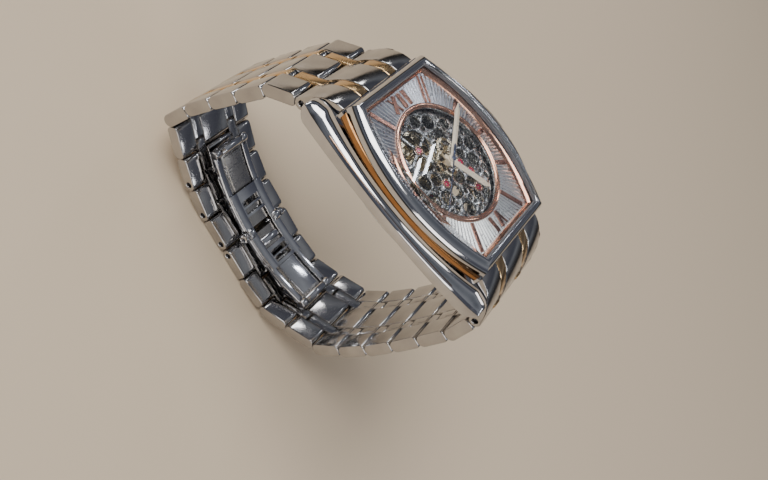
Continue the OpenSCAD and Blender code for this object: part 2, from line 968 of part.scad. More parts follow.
module end_link_body(hinge_at, lobe_r, outer, inner) {
    curve = [for (i = [0:len(outer) - 2]) outer[i]];
    difference() {
        across(band_w) {
            polygon(concat([[19.35, -7.9]], outer, [hinge_at], inner));
            translate(hinge_at)
                circle(lobe_r, $fn = 64);
        }
        for (s = [-1, 1])
            translate([s * gold_x, 0, 0])
                across(gold_w)
                    end_band(curve, 1, 0.45);
    }
    for (s = [-1, 1])
        translate([s * gold_x, 0, 0])
            across(gold_w - 0.1)
                end_band(curve, -0.05, 0.5);
}

module end_link(hinge_at, hinge_dir, lobe_r, outer, inner, split_pin) {
    difference() {
        end_link_body(hinge_at, lobe_r, outer, inner);
        translate([0, hinge_at[0], hinge_at[1]])
            rotate([hinge_dir, 0, 0]) {
                tab_notches(end_notch_back);
                bar_x(pin_r + pin_fit, band_w + 2);
            }
        translate([0, lug_bar[0], lug_bar[1]])
            bar_x(bar_r + 0.05, band_w + 2);
    }
    translate([0, hinge_at[0], hinge_at[1]])
        hinge_pin(band_w, split_pin);
}

// The strips stop short of the hinge and leave a deep slot at their ends
end_notch_back = 2.3;

// A hinge pin for a link of width w; the open pivot's pin stands only inside its lobes
module hinge_pin(w, split = false) {
    difference() {
        bar_x(pin_r, w - 0.8);
        if (split)
            for (s = [-1, 1])
                translate([s * gold_x, 0, 0])
                    cube([notch_w + 0.6, 4, 4], center = true);
    }
}

module end_link_12() color(steel) in_part_frame() {
    end_link(start_12, turn_12[0], half_t,
        [[19.35, -2.3], [21.2, -2.9], [23.6, -4.6], [25.3, -6.6],
            start_12 + half_t * [sin(38), cos(38)]],
        [start_12 - half_t * [0.35, 0.94], [22, -9.2]], false);
}

module end_link_6() color(steel) in_part_frame() mirror([0, 1, 0]) {
    end_link(start_6, turn_6[0], open_lobe_r,
        [[19.35, -2.3], [21.2, -2.9], [23.6, -4.7], [25.5, -6.9], [26.6, -9.3],
            start_6 + open_lobe_r * [0.98, 0.2]],
        [start_6 - open_lobe_r * [0.98, 0.2], [22, -9.2]], true);
}

// The loop is drawn open at this hinge, so its lobes are slimmer than the others
open_lobe_r = 1.3;

module spring_bars() color(steel) in_part_frame() mirror_y() {
    translate([0, lug_bar[0], lug_bar[1]]) {
        bar_x(bar_r, band_w - 0.2);
        bar_x(bar_tip_r, 2 * 13.5);
    }
}

// ---- Links -----------------------------------------------------------------------
// Side view of the steel part: blunt nose at its first hinge, round lobe at its second
module link_profile() {
    polygon([[link_end, nose - half_t], [link_end, half_t - nose],
        [link_end + 0.25 * nose, half_t - 0.33 * nose],
        [link_end + 0.55 * nose, half_t - 0.1 * nose], [link_end + nose, half_t],
        [pitch, half_t], [pitch, -half_t], [link_end + nose, -half_t],
        [link_end + 0.55 * nose, 0.1 * nose - half_t],
        [link_end + 0.25 * nose, 0.33 * nose - half_t]]);
    translate([pitch, 0])
        circle(half_t, $fn = 64);
}

// The link beside the clasp takes a blade's foot in place of the next link's two tabs
module link(w, at_clasp) {
    groove = 0.5;
    difference() {
        union() {
            across(w)
                link_profile();
            for (s = [-1, 1])
                translate([s * gold_x, 0, 0])
                    across(gold_w) {
                        circle(knuckle_r, $fn = 64);
                        translate([0, -knuckle_r])
                            square([link_end + 1, 2 * knuckle_r]);
                    }
        }
        bar_x(pin_r + hinge_fit, w + 2);
        for (s = [-1, 1])
            translate([s * gold_x - gold_w / 2, link_end - 1, half_t - groove])
                cube([gold_w, pitch, 2]);
        translate([0, pitch, 0]) {
            if (at_clasp)
                foot_notch();
            else
                tab_notches();
            bar_x(pin_r + pin_fit, w + 2);
        }
    }
    gold_strips(-0.6, pitch - notch_back - 0.1);
    translate([0, pitch, 0])
        hinge_pin(w);
}

// Link number k of a chain of n links; the bracelet narrows evenly towards the clasp
module place_link(p, turns, k, n) {
    h = hinge(p, turns, k - 1);
    translate([0, h[0], h[1]])
        rotate([turns[k - 1], 0, 0])
            link(band_w + (clasp_band_w - band_w) * k / n, k == n);
}

module link_12(k) color(steel) in_part_frame() place_link(start_12, chain_12, k, LINKS_12);

module link_6(k) color(steel) in_part_frame() mirror([0, 1, 0])
    place_link(start_6, chain_6, k, LINKS_6);

// ---- Clasp, drawn about its middle, which is on the Y axis of the part frame ---------
pin_y = link_end;
pin_z = half_t;
arch_sag = 4.1;
arch_r = (clasp_half * clasp_half + arch_sag * arch_sag) / (2 * arch_sag);
arch_low = clasp_hinge_z - arch_sag;
arch_mid = [0, arch_low + arch_r];
rail_t = 1.1;
rail_w = 1.8;
bridge_t = 0.5;
bridge_half = 9.5;
blade_w = clasp_w - 2 * rail_w - 0.4;
boss_r = 1.05;
clasp_pin_r = 0.5;
button_r = 0.7;
button_travel = 0.7;
button_z = arch_low + 0.45;

module in_clasp_frame() {
    translate([0, -flat_mid, 0])
        children();
}

// Part of the clasp's arch between two radii, limited to y0 < y < y1
module arch(inner, outer, y0, y1) {
    intersection() {
        translate(arch_mid)
            difference() {
                circle(arch_r + outer, $fn = BOW * 2);
                circle(arch_r + inner, $fn = BOW * 2);
            }
        translate([y0, 0])
            square([y1 - y0, 12]);
    }
}

// Two rails joined by an arched bridge plate, with a hinge boss at each corner
module clasp_frame() color(steel) in_clasp_frame() {
    difference() {
        union() {
            for (s = [-1, 1])
                translate([s * (clasp_w - rail_w) / 2, 0, 0])
                    across(rail_w) {
                        arch(-rail_t / 2, rail_t / 2, -clasp_half, clasp_half);
                        for (e = [-1, 1])
                            translate([e * clasp_half, clasp_hinge_z])
                                circle(boss_r, $fn = 48);
                    }
            across(clasp_w)
                arch(-rail_t / 2 - bridge_t, -rail_t / 2, -bridge_half, bridge_half);
            for (s = [-1, 1])
                translate([s * (clasp_w - rail_w) / 2, 0, button_z])
                    bar_x(1.3, rail_w, 48);
        }
        mirror_y()
            translate([0, clasp_half, clasp_hinge_z])
                bar_x(clasp_pin_r + 0.02, clasp_w + 2);
        bridge_openings();
        // Bores of the two push buttons
        for (s = [-1, 1])
            translate([s * (clasp_w - rail_w) / 2, 0, button_z])
                bar_x(button_r + 0.05, rail_w + 2);
    }
    // Hinge pins, riveted over the outer faces of the rails
    mirror_y()
        translate([0, clasp_half, clasp_hinge_z]) {
            bar_x(clasp_pin_r, clasp_w);
            for (s = [-1, 1])
                translate([s * (clasp_w / 2 + 0.05), 0, 0])
                    bar_x(0.75, 0.3);
        }
}

// Latch windows, each with a cross bar left between its halves, and the middle opening
module bridge_openings() {
    for (y = [3.9, 5.7, -7.1, -8.7])
        translate([-2.6, y, 0])
            cube([5.2, 1.3, 12]);
    translate([-3, -4.9, 0])
        cube([6, 8.2, 12]);
}

// Blade from the frame's end hinge to the last link's pin; drawn on the +Y side
module clasp_blade() {
    difference() {
        union() {
            across(blade_w) {
                arch(-0.45, 0.55, pin_y - 0.75, clasp_half);
                translate([clasp_half, clasp_hinge_z])
                    circle(boss_r, $fn = 48);
            }
            across(foot_w) {
                translate([pin_y, pin_z])
                    circle(1.05, $fn = 48);
                translate([pin_y - 0.75, pin_z])
                    square([1.7, arch_low - pin_z]);
            }
        }
        translate([0, pin_y, pin_z])
            bar_x(pin_r + hinge_fit, clasp_w + 8);
        translate([0, clasp_half, clasp_hinge_z])
            bar_x(clasp_pin_r + hinge_fit, clasp_w + 8);
        // Window that lightens the blade under the bridge
        translate([-2.2, 5, 2])
            cube([4.4, 3.4, 8]);
    }
}

module clasp_blade_12() color(steel) in_clasp_frame() clasp_blade();

// This blade carries the half-round catch bar that stands in the bridge's opening
module clasp_blade_6() color(steel) in_clasp_frame() mirror([0, 1, 0]) {
    clasp_blade();
    across(5.6)
        intersection() {
            translate([3.4, arch_low - 0.25])
                circle(1.2, $fn = 48);
            translate([2, arch_low - 0.2])
                square([3, 3]);
        }
}

// Round push button; its head stands button_travel off the rail
module clasp_button() {
    head = 0.9;
    stem = 1.8;
    translate([clasp_w / 2 + button_travel + 0.05, 0, button_z]) {
        translate([head / 2, 0, 0])
            bar_x(1.1, head, 48);
        translate([-stem / 2, 0, 0])
            bar_x(button_r, stem + 0.2);
    }
}

module clasp_button_right() color(steel) in_clasp_frame() clasp_button();

module clasp_button_left() color(steel) in_clasp_frame() mirror([1, 0, 0]) clasp_button();

case_middle();
case_inlay();
bezel();
crystal();
gaskets();
dial_flange();
dial();
aperture_ring();
hour_markers();
case_back();
back_crystal();
screws();
end_link_12();
end_link_6();
spring_bars();
main_plate();
barrel_bridge();
train_bridge();
balance_cock();
jewels();
barrel();
center_wheel();
third_wheel();
fourth_wheel();
escape_wheel();
pallet_fork();
balance_wheel();
hairspring();
rotor();
minute_wheel();
hour_hand();
minute_hand();
seconds_hand();
crown();
winding_stem();
crown_gasket();
clasp_frame();
clasp_blade_12();
clasp_blade_6();
clasp_button_left();
clasp_button_right();
link_12(1);  // link_12_1
link_12(2);  // link_12_2
link_12(3);  // link_12_3
link_12(4);  // link_12_4
link_12(5);  // link_12_5
link_12(6);  // link_12_6
link_12(7);  // link_12_7
link_12(8);  // link_12_8
link_12(9);  // link_12_9
link_6(1);  // link_6_1
link_6(2);  // link_6_2
link_6(3);  // link_6_3
link_6(4);  // link_6_4
link_6(5);  // link_6_5
link_6(6);  // link_6_6
link_6(7);  // link_6_7
link_6(8);  // link_6_8
link_6(9);  // link_6_9
link_6(10);  // link_6_10
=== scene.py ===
"""Looks for the skeleton wristwatch. Pieces are drawn in millimetres in the frame that suits them
(dial, link or clasp) and then placed in the row frame, in metres."""
import json
import math
import random

import bmesh
import bpy
from mathutils import Matrix, Vector


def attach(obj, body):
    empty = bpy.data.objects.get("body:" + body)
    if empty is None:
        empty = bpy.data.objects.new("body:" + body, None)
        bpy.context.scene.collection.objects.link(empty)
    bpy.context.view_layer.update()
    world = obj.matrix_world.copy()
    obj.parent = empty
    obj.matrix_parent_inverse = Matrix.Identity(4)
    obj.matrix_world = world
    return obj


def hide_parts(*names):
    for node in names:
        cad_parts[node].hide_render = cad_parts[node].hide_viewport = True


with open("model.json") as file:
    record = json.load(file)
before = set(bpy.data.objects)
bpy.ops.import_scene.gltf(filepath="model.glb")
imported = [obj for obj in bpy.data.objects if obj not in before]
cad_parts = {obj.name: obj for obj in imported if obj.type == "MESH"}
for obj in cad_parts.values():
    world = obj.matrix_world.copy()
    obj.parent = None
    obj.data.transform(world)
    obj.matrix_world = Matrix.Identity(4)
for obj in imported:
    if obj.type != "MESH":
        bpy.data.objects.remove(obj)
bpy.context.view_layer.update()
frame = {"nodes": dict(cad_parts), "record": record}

MM = 0.001
JOINT = {j["name"]: j for j in frame["record"]["behaviour"]["joints"]}
PI = math.pi


def joint_pos(name):
    return Vector(JOINT[name]["pos_m"])


# ---- Frames ----------------------------------------------------------------------
NORMAL = Vector(JOINT["seconds_spin"]["axis"]).normalized()
LEAN = math.atan2(NORMAL.y, NORMAL.z)
TO_MM = Matrix.Scale(MM, 4)
DIAL = Matrix.Translation(joint_pos("seconds_spin")) @ Matrix.Rotation(-LEAN, 4, "X") @ TO_MM
CLASP_MID_Y = (joint_pos("clasp_open").y + joint_pos("clasp_blade_6_hinge").y) / 2
CLASP = Matrix.Translation((0, CLASP_MID_Y, 0)) @ TO_MM
# A profile drawn in X and Y is stood up so that it extrudes along X
STAND_UP = Matrix(((0, 0, 1, 0), (1, 0, 0, 0), (0, 1, 0, 0), (0, 0, 0, 1)))


def at(x=0.0, y=0.0, z=0.0):
    return Matrix.Translation((x, y, z))


def turn(degrees, axis="Z"):
    return Matrix.Rotation(math.radians(degrees), 4, axis)


# ---- Materials -------------------------------------------------------------------
def new_material(name):
    mat = bpy.data.materials.new(name)
    mat.use_nodes = True
    nodes = mat.node_tree.nodes
    return mat, nodes, mat.node_tree.links, nodes["Principled BSDF"]


def object_coords(nodes, links, scale=(1, 1, 1), rotation=(0, 0, 0)):
    coords = nodes.new("ShaderNodeTexCoord")
    mapping = nodes.new("ShaderNodeMapping")
    mapping.inputs["Scale"].default_value = scale
    mapping.inputs["Rotation"].default_value = rotation
    links.new(coords.outputs["Object"], mapping.inputs["Vector"])
    return mapping.outputs["Vector"]


def noise(nodes, links, vector, scale, detail=3.0, rough=0.5):
    tex = nodes.new("ShaderNodeTexNoise")
    tex.inputs["Scale"].default_value = scale
    tex.inputs["Detail"].default_value = detail
    tex.inputs["Roughness"].default_value = rough
    links.new(vector, tex.inputs["Vector"])
    return tex.outputs["Fac"]


def remap(nodes, links, value, low, high, from_low=0.3, from_high=0.7):
    node = nodes.new("ShaderNodeMapRange")
    node.inputs["From Min"].default_value = from_low
    node.inputs["From Max"].default_value = from_high
    node.inputs["To Min"].default_value = low
    node.inputs["To Max"].default_value = high
    links.new(value, node.inputs["Value"])
    return node.outputs["Result"]


def blend_colors(nodes, links, factor, first, second):
    mix = nodes.new("ShaderNodeMix")
    mix.data_type = "RGBA"
    links.new(factor, mix.inputs["Factor"])
    for socket, value in ((mix.inputs[6], first), (mix.inputs[7], second)):
        if isinstance(value, tuple):
            socket.default_value = (*value, 1)
        else:
            links.new(value, socket)
    return mix.outputs[2]


def bump(nodes, links, height, shader, strength, distance, previous=None):
    node = nodes.new("ShaderNodeBump")
    node.inputs["Strength"].default_value = strength
    node.inputs["Distance"].default_value = distance
    links.new(height, node.inputs["Height"])
    if previous is not None:
        links.new(previous, node.inputs["Normal"])
    links.new(node.outputs["Normal"], shader.inputs["Normal"])
    return node.outputs["Normal"]


def metal(name, color, dark, rough, brush=0.0, brush_axis=(1, 1, 1), smudge=0.35, grain=1.0):
    """Metal with smudged roughness, faint colour drift, fine scratches and optional brushing."""
    mat, nodes, links, shader = new_material(name)
    plain = object_coords(nodes, links)
    cloud = noise(nodes, links, plain, 260, 4)
    fine = noise(nodes, links, plain, 2600, 3, 0.6)
    shade = blend_colors(nodes, links, remap(nodes, links, cloud, 0, 1), color, dark)
    links.new(shade, shader.inputs["Base Color"])
    shader.inputs["Metallic"].default_value = 1.0
    blotch = remap(nodes, links, cloud, rough * (1 - smudge), rough * (1 + smudge))
    grit = remap(nodes, links, fine, -0.25 * rough, 0.25 * rough)
    total = nodes.new("ShaderNodeMath")
    links.new(blotch, total.inputs[0])
    links.new(grit, total.inputs[1])
    links.new(total.outputs[0], shader.inputs["Roughness"])
    hair = noise(nodes, links, object_coords(nodes, links, (900, 60, 60), (0.4, 0.9, 0.3)), 9, 2)
    normal = bump(nodes, links, hair, shader, 0.05 * grain, 0.00002)
    if brush:
        lines = noise(nodes, links, object_coords(nodes, links, brush_axis), 60, 2, 0.7)
        bump(nodes, links, lines, shader, brush, 0.00003, normal)
    return mat


def glass(name, tint=(0.97, 0.985, 0.98)):
    """Clear crystal that lets shadow and diffuse light straight through."""
    mat, nodes, links, shader = new_material(name)
    shader.inputs["Base Color"].default_value = (*tint, 1)
    shader.inputs["Transmission Weight"].default_value = 1.0
    shader.inputs["IOR"].default_value = 1.1
    shader.inputs["Coat Weight"].default_value = 1.0
    shader.inputs["Coat Roughness"].default_value = 0.01
    smear = noise(nodes, links, object_coords(nodes, links), 180, 4)
    links.new(remap(nodes, links, smear, 0.0, 0.025), shader.inputs["Roughness"])
    path = nodes.new("ShaderNodeLightPath")
    either = nodes.new("ShaderNodeMath")
    either.operation = "MAXIMUM"
    links.new(path.outputs["Is Shadow Ray"], either.inputs[0])
    links.new(path.outputs["Is Diffuse Ray"], either.inputs[1])
    clear = nodes.new("ShaderNodeBsdfTransparent")
    mix = nodes.new("ShaderNodeMixShader")
    links.new(either.outputs[0], mix.inputs[0])
    links.new(shader.outputs[0], mix.inputs[1])
    links.new(clear.outputs[0], mix.inputs[2])
    links.new(mix.outputs[0], nodes["Material Output"].inputs["Surface"])
    return mat


def engraved(name, color, dark, rough):
    """Movement plates: rhodium grey with scroll engraving and a fine grain."""
    mat, nodes, links, shader = new_material(name)
    plain = object_coords(nodes, links)
    wave = nodes.new("ShaderNodeTexWave")
    wave.wave_type = "RINGS"
    wave.inputs["Scale"].default_value = 420
    wave.inputs["Distortion"].default_value = 9
    wave.inputs["Detail"].default_value = 2
    wave.inputs["Detail Scale"].default_value = 1.6
    links.new(plain, wave.inputs["Vector"])
    cut = remap(nodes, links, wave.outputs["Fac"], 0, 1, 0.25, 0.5)
    links.new(blend_colors(nodes, links, cut, dark, color), shader.inputs["Base Color"])
    shader.inputs["Metallic"].default_value = 1.0
    fine = noise(nodes, links, plain, 5200, 2)
    links.new(remap(nodes, links, fine, rough * 0.7, rough * 1.3), shader.inputs["Roughness"])
    normal = bump(nodes, links, cut, shader, 0.5, 0.00006)
    bump(nodes, links, fine, shader, 0.08, 0.00002, normal)
    return mat


def soft_surface(name, color, dark, rough, scale, depth, coat=0.0):
    """Rubber, ruby and other non-metals."""
    mat, nodes, links, shader = new_material(name)
    cloud = noise(nodes, links, object_coords(nodes, links), scale, 4)
    links.new(blend_colors(nodes, links, cloud, color, dark), shader.inputs["Base Color"])
    links.new(remap(nodes, links, cloud, rough * 0.8, rough * 1.2), shader.inputs["Roughness"])
    shader.inputs["Coat Weight"].default_value = coat
    bump(nodes, links, cloud, shader, 0.2, depth)
    return mat


POLISHED = metal("polished_steel", (0.60, 0.60, 0.61), (0.50, 0.50, 0.52), 0.09, smudge=0.5)
LINK_STEEL = metal("link_steel", (0.50, 0.49, 0.48), (0.40, 0.39, 0.39), 0.12, 0.1, (260, 6, 6),
                   smudge=0.5)
SATIN = metal("satin_steel", (0.48, 0.46, 0.43), (0.38, 0.36, 0.34), 0.26, 0.25, (6, 260, 6))
BACK_STEEL = metal("back_steel", (0.62, 0.62, 0.63), (0.54, 0.54, 0.56), 0.3, 0.3, (260, 8, 8))
DARK_STEEL = metal("dark_steel", (0.12, 0.12, 0.13), (0.07, 0.07, 0.08), 0.35)
ROSE = metal("rose_gold", (0.72, 0.42, 0.30), (0.62, 0.34, 0.24), 0.14, smudge=0.4)
NUMERAL = metal("numeral_gold", (0.32, 0.16, 0.12), (0.24, 0.12, 0.09), 0.28, smudge=0.4)
GOLD = metal("gold_strip", (0.72, 0.50, 0.27), (0.60, 0.40, 0.20), 0.20, 0.12, (8, 300, 8))
INLAY = metal("bronze_inlay", (0.46, 0.24, 0.10), (0.32, 0.15, 0.06), 0.18, 0.15, (200, 6, 6))
BRASS = metal("gear_brass", (0.58, 0.50, 0.36), (0.46, 0.39, 0.27), 0.24, 0.15, (200, 200, 6))
SILVER = metal("dial_silver", (0.88, 0.89, 0.91), (0.84, 0.85, 0.87), 0.32, smudge=0.1, grain=0.2)
# Darker copy of the dial silver, put on one slope of every pleat: painted shade
PAINTED_PLEAT_SHADE = metal("dial_painted_shade", (0.36, 0.37, 0.42), (0.30, 0.31, 0.36), 0.32, smudge=0.1, grain=0.2)
HAND = metal("hand_gold", (0.95, 0.84, 0.68), (0.90, 0.77, 0.60), 0.34, smudge=0.2)
BLUED = metal("blued_steel", (0.28, 0.31, 0.42), (0.20, 0.23, 0.34), 0.22)
HAND.node_tree.nodes["Principled BSDF"].inputs["Metallic"].default_value = 0.4
PLATE = engraved("engraved_plate", (0.68, 0.68, 0.67), (0.20, 0.20, 0.20), 0.24)
GLASS = glass("crystal_glass")
RUBBER = soft_surface("gasket_rubber", (0.10, 0.10, 0.11), (0.14, 0.14, 0.15), 0.6, 900, 1e-5)
RUBY = soft_surface("ruby_red", (0.55, 0.01, 0.09), (0.35, 0.0, 0.05), 0.12, 700, 2e-6, 0.6)


# ---- Mesh tools ------------------------------------------------------------------
def part(bm, mat=0, matrix=None):
    for face in bm.faces:
        face.material_index = mat
    if matrix is not None:
        bm.transform(matrix)
        if matrix.determinant() < 0:
            bmesh.ops.reverse_faces(bm, faces=bm.faces)
    return bm


def piece(name, parts, body, nodes, materials, matrix=DIAL, angle=32.0):
    """Joins parts into one object in the row frame, with sharp edges only above the angle."""
    bm = bmesh.new()
    for one in parts:
        temp = bpy.data.meshes.new("part")
        one.to_mesh(temp)
        one.free()
        bm.from_mesh(temp)
        bpy.data.meshes.remove(temp)
    bm.transform(matrix)
    if matrix.determinant() < 0:
        bmesh.ops.reverse_faces(bm, faces=bm.faces)
    limit = math.radians(angle)
    for face in bm.faces:
        face.smooth = True
    for edge in bm.edges:
        edge.smooth = len(edge.link_faces) == 2 and edge.calc_face_angle(0) < limit
    mesh = bpy.data.meshes.new(name)
    bm.to_mesh(mesh)
    bm.free()
    for mat in materials:
        mesh.materials.append(mat)
    obj = bpy.data.objects.new(name, mesh)
    bpy.context.scene.collection.objects.link(obj)
    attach(obj, body)
    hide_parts(*nodes)


def loft(loops, ring=False, caps=False):
    """Skin through loops of equal length. ring joins the last loop to the first."""
    bm = bmesh.new()
    rows = [[bm.verts.new(p) for p in loop] for loop in loops]
    count = len(rows[0])
    pairs = list(zip(rows, rows[1:])) + ([(rows[-1], rows[0])] if ring else [])
    for low, high in pairs:
        for i in range(count):
            j = (i + 1) % count
            bm.faces.new((low[i], low[j], high[j], high[i]))
    if caps:
        bm.faces.new(rows[0][::-1])
        bm.faces.new(rows[-1])
    bmesh.ops.recalc_face_normals(bm, faces=bm.faces)
    return bm


def plate(loops, z0, z1, edge=0.0, steps=0):
    """Flat plate between z0 and z1 from an outline and its holes, with rounded rims."""
    curve = bpy.data.curves.new("plate", "CURVE")
    curve.dimensions = "2D"
    curve.fill_mode = "BOTH"
    curve.extrude = (z1 - z0) / 2 - edge
    curve.bevel_depth = edge
    curve.bevel_resolution = steps
    curve.offset = -edge
    for loop in loops:
        spline = curve.splines.new("POLY")
        spline.points.add(len(loop) - 1)
        for point, (x, y) in zip(spline.points, loop):
            point.co = (x, y, 0, 1)
        spline.use_cyclic_u = True
    obj = bpy.data.objects.new("plate", curve)
    bpy.context.scene.collection.objects.link(obj)
    graph = bpy.context.evaluated_depsgraph_get()
    mesh = bpy.data.meshes.new_from_object(obj.evaluated_get(graph))
    bm = bmesh.new()
    bm.from_mesh(mesh)
    bmesh.ops.remove_doubles(bm, verts=bm.verts, dist=1e-4)
    bmesh.ops.recalc_face_normals(bm, faces=bm.faces)
    bm.transform(at(0, 0, (z0 + z1) / 2))
    bpy.data.objects.remove(obj)
    bpy.data.meshes.remove(mesh)
    bpy.data.curves.remove(curve)
    return bm


def circle(r, x=0.0, y=0.0, n=48):
    return [(x + r * math.cos(2 * PI * i / n), y + r * math.sin(2 * PI * i / n))
            for i in range(n)]


def arc(r, x, y, a0, a1, n=10):
    return [(x + r * math.cos(math.radians(a0 + (a1 - a0) * i / n)),
             y + r * math.sin(math.radians(a0 + (a1 - a0) * i / n))) for i in range(n + 1)]


def at_z(loop, z):
    return [(x, y, z) for x, y in loop]


def turned(profile, n):
    """One loop of n points about Z for each (radius, height) of the profile."""
    return [at_z(circle(r, n=n), z) for r, z in profile]


def lathe(profile, n=48, matrix=None):
    """Solid of revolution about Z from (radius, height) points."""
    bm = loft(turned(profile, n), caps=profile[0][0] > 1e-6 and profile[-1][0] > 1e-6)
    bmesh.ops.remove_doubles(bm, verts=bm.verts, dist=1e-6)
    if matrix is not None:
        bm.transform(matrix)
    return bm


def rod_x(r, x0, x1, y=0.0, z=0.0):
    edge = 0.08
    profile = [(r - edge, 0), (r, edge), (r, x1 - x0 - edge), (r - edge, x1 - x0)]
    return lathe(profile, 32, at(x0, y, z) @ turn(90, "Y"))


def block(x0, y0, z0, x1, y1, z1, edge=0.1, steps=2):
    bm = bmesh.new()
    bmesh.ops.create_cube(bm, size=1)
    bm.transform(at((x0 + x1) / 2, (y0 + y1) / 2, (z0 + z1) / 2)
                 @ Matrix.Diagonal((x1 - x0, y1 - y0, z1 - z0, 1)))
    bmesh.ops.bevel(bm, geom=bm.edges[:], offset=edge, segments=steps, affect="EDGES")
    return bm


def across(loops, x0, x1, edge=0.1, steps=1):
    """A profile drawn in Y and Z, from x0 to x1."""
    bm = plate(loops, x0, x1, edge, steps)
    bm.transform(STAND_UP)
    return bm


# ---- Tonneau outline ---------------------------------------------------------------
def bow_x(mid, end, length, y):
    half, sag = length / 2, (mid - end) / 2
    r = (half * half + sag * sag) / (2 * sag)
    return mid / 2 - r + math.sqrt(r * r - y * y)


def bowed(mid, end, length, n_side=40, n_end=12):
    """Outline with bowed sides and straight ends, counter-clockwise from the lower right."""
    half = length / 2
    side = [(bow_x(mid, end, length, y), y)
            for y in (half * (2 * i / n_side - 1) for i in range(n_side + 1))]
    top = [(end / 2 - end * i / n_end, half) for i in range(1, n_end)]
    return side + top + [(-x, -y) for x, y in side] + [(-x, -y) for x, y in top]


# Case sizes as in part.scad
CASE = (38.4, 29.2, 49.2)
BEZEL_OUT = (35.8, 25.8, 38.0)
OPENING = (31.2, 22.6, 34.2)
WINDOW_R = 11.5
DIAL_TOP, DIAL_LOW, VALLEY, PLEAT = -1.5, -1.88, -1.56, 0.16
DECK = (35.7, 25.7, 42)
CASE_TIP, NOSE_R, NOSE_Y, NOSE_Z = 24.59, 2.5, 22.1, -6.9
KEEL_Z, SLOT_Y = -8.55, 19.3
CRYSTAL_TOP, CRYSTAL_FALL, CRYSTAL_T = 2.2, 1.6, 1.2
CRYSTAL_GAP = 0.04


def bezel_plan(t):
    return bowed(*(a + (b - a) * t for a, b in zip(BEZEL_OUT, OPENING)))


# ---- Case --------------------------------------------------------------------------
def fall(r, y):
    return r - math.sqrt(r * r - y * y)


def band_section(y):
    """Outline in X and Z of the case band at y: flat flank, step, concave channel, top."""
    ay = abs(y)
    outer = bow_x(*CASE, min(ay, CASE_TIP))
    bottom = -6.8 - fall(97.5, y)
    top = -2.9 - fall(170.3, y)
    if ay > NOSE_Y:
        reach = math.sqrt(max(NOSE_R ** 2 - (ay - NOSE_Y) ** 2, 0))
        bottom, top = max(bottom, NOSE_Z - reach), min(top, NOSE_Z + reach)
    height = top - bottom
    inner = 13.55 if ay <= SLOT_Y else 12.68
    crest = max(bow_x(*DECK, min(ay, 20.9)), 12.95)
    flank = bottom + height * 0.56
    soft = min(0.28, height * 0.2)
    points = [(inner, bottom), (outer - soft, bottom), (outer - soft * 0.3, bottom + soft * 0.3),
              (outer, bottom + soft), (outer, flank - soft * 0.6), (outer - 0.1, flank)]
    ledge = outer - 0.42
    points.append((ledge, flank + 0.08 * height))
    for i in range(1, 8):
        a = PI / 2 * i / 7
        points.append((crest + (ledge - crest) * (1 - math.sin(a)),
                       flank + 0.08 * height + (top - flank - 0.08 * height) * (1 - math.cos(a))))
    points += [(crest - 0.3, top), (inner, top)]
    return points


def case_band(side):
    ys = [CASE_TIP * math.sin(PI / 2 * i / 40) for i in range(-40, 41)]
    ys = sorted(ys + [s * (SLOT_Y + d) for s in (-1, 1) for d in (-0.01, 0.01)])
    loops = [[(side * x, y, z) for x, z in band_section(y)] for y in ys]
    return loft(loops, caps=True)


def keel():
    outer = bowed(33, 25, 35.2)
    inner = [(13.5 * x / math.hypot(x, y), 13.5 * y / math.hypot(x, y)) for x, y in outer]
    small = bowed(32.6, 24.6, 34.8)
    return loft([at_z(inner, KEEL_Z), at_z(small, KEEL_Z), at_z(outer, KEEL_Z + 0.25),
                 at_z(outer, -4), at_z(inner, -4)], ring=True)


def build_case():
    parts = [case_band(1), case_band(-1), keel()]
    for s in (-1, 1):
        y0, y1 = sorted((s * 14.2, s * 19.2))
        parts.append(block(-13.6, y0, -8.5, 13.6, y1, -2.0, 0.15))
        y0, y1 = sorted((s * 17.9, s * 19.2))
        parts.append(block(-12.6, y0, -3.0, 12.6, y1, -1.55, 0.1))
    piece("case_body", parts, "case", ["case_middle"], [POLISHED])

    strips = []
    for s in (-1, 1):
        loops = []
        for i in range(61):
            y = 18.55 * (2 * i / 60 - 1)
            x = bow_x(*DECK, y)
            loops.append([(s * (x + dx), y, z) for dx, z in
                          ((-0.5, -2.95), (0.0, -2.88), (0.1, -2.6), (0.14, -2.2), (0.1, -1.75),
                           (0.0, -1.55), (-0.5, -1.5))])
        strips.append(loft(loops, caps=True))
    piece("inlay_strips", strips, "case", ["case_inlay"], [INLAY])

    profile = [(1.0, -1.48), (0.0, -1.48), (0.0, -1.15), (0.02, -0.8), (0.07, -0.45),
               (0.15, -0.1), (0.26, 0.22), (0.4, 0.5), (0.55, 0.7), (0.7, 0.8), (0.78, 0.8),
               (0.8, 0.66), (0.85, 0.63), (0.87, 0.72), (0.96, 0.7), (1.0, 0.6)]
    piece("bezel_ring", [loft([at_z(bezel_plan(t), z) for t, z in profile], ring=True)],
          "case", ["bezel"], [POLISHED], angle=24)


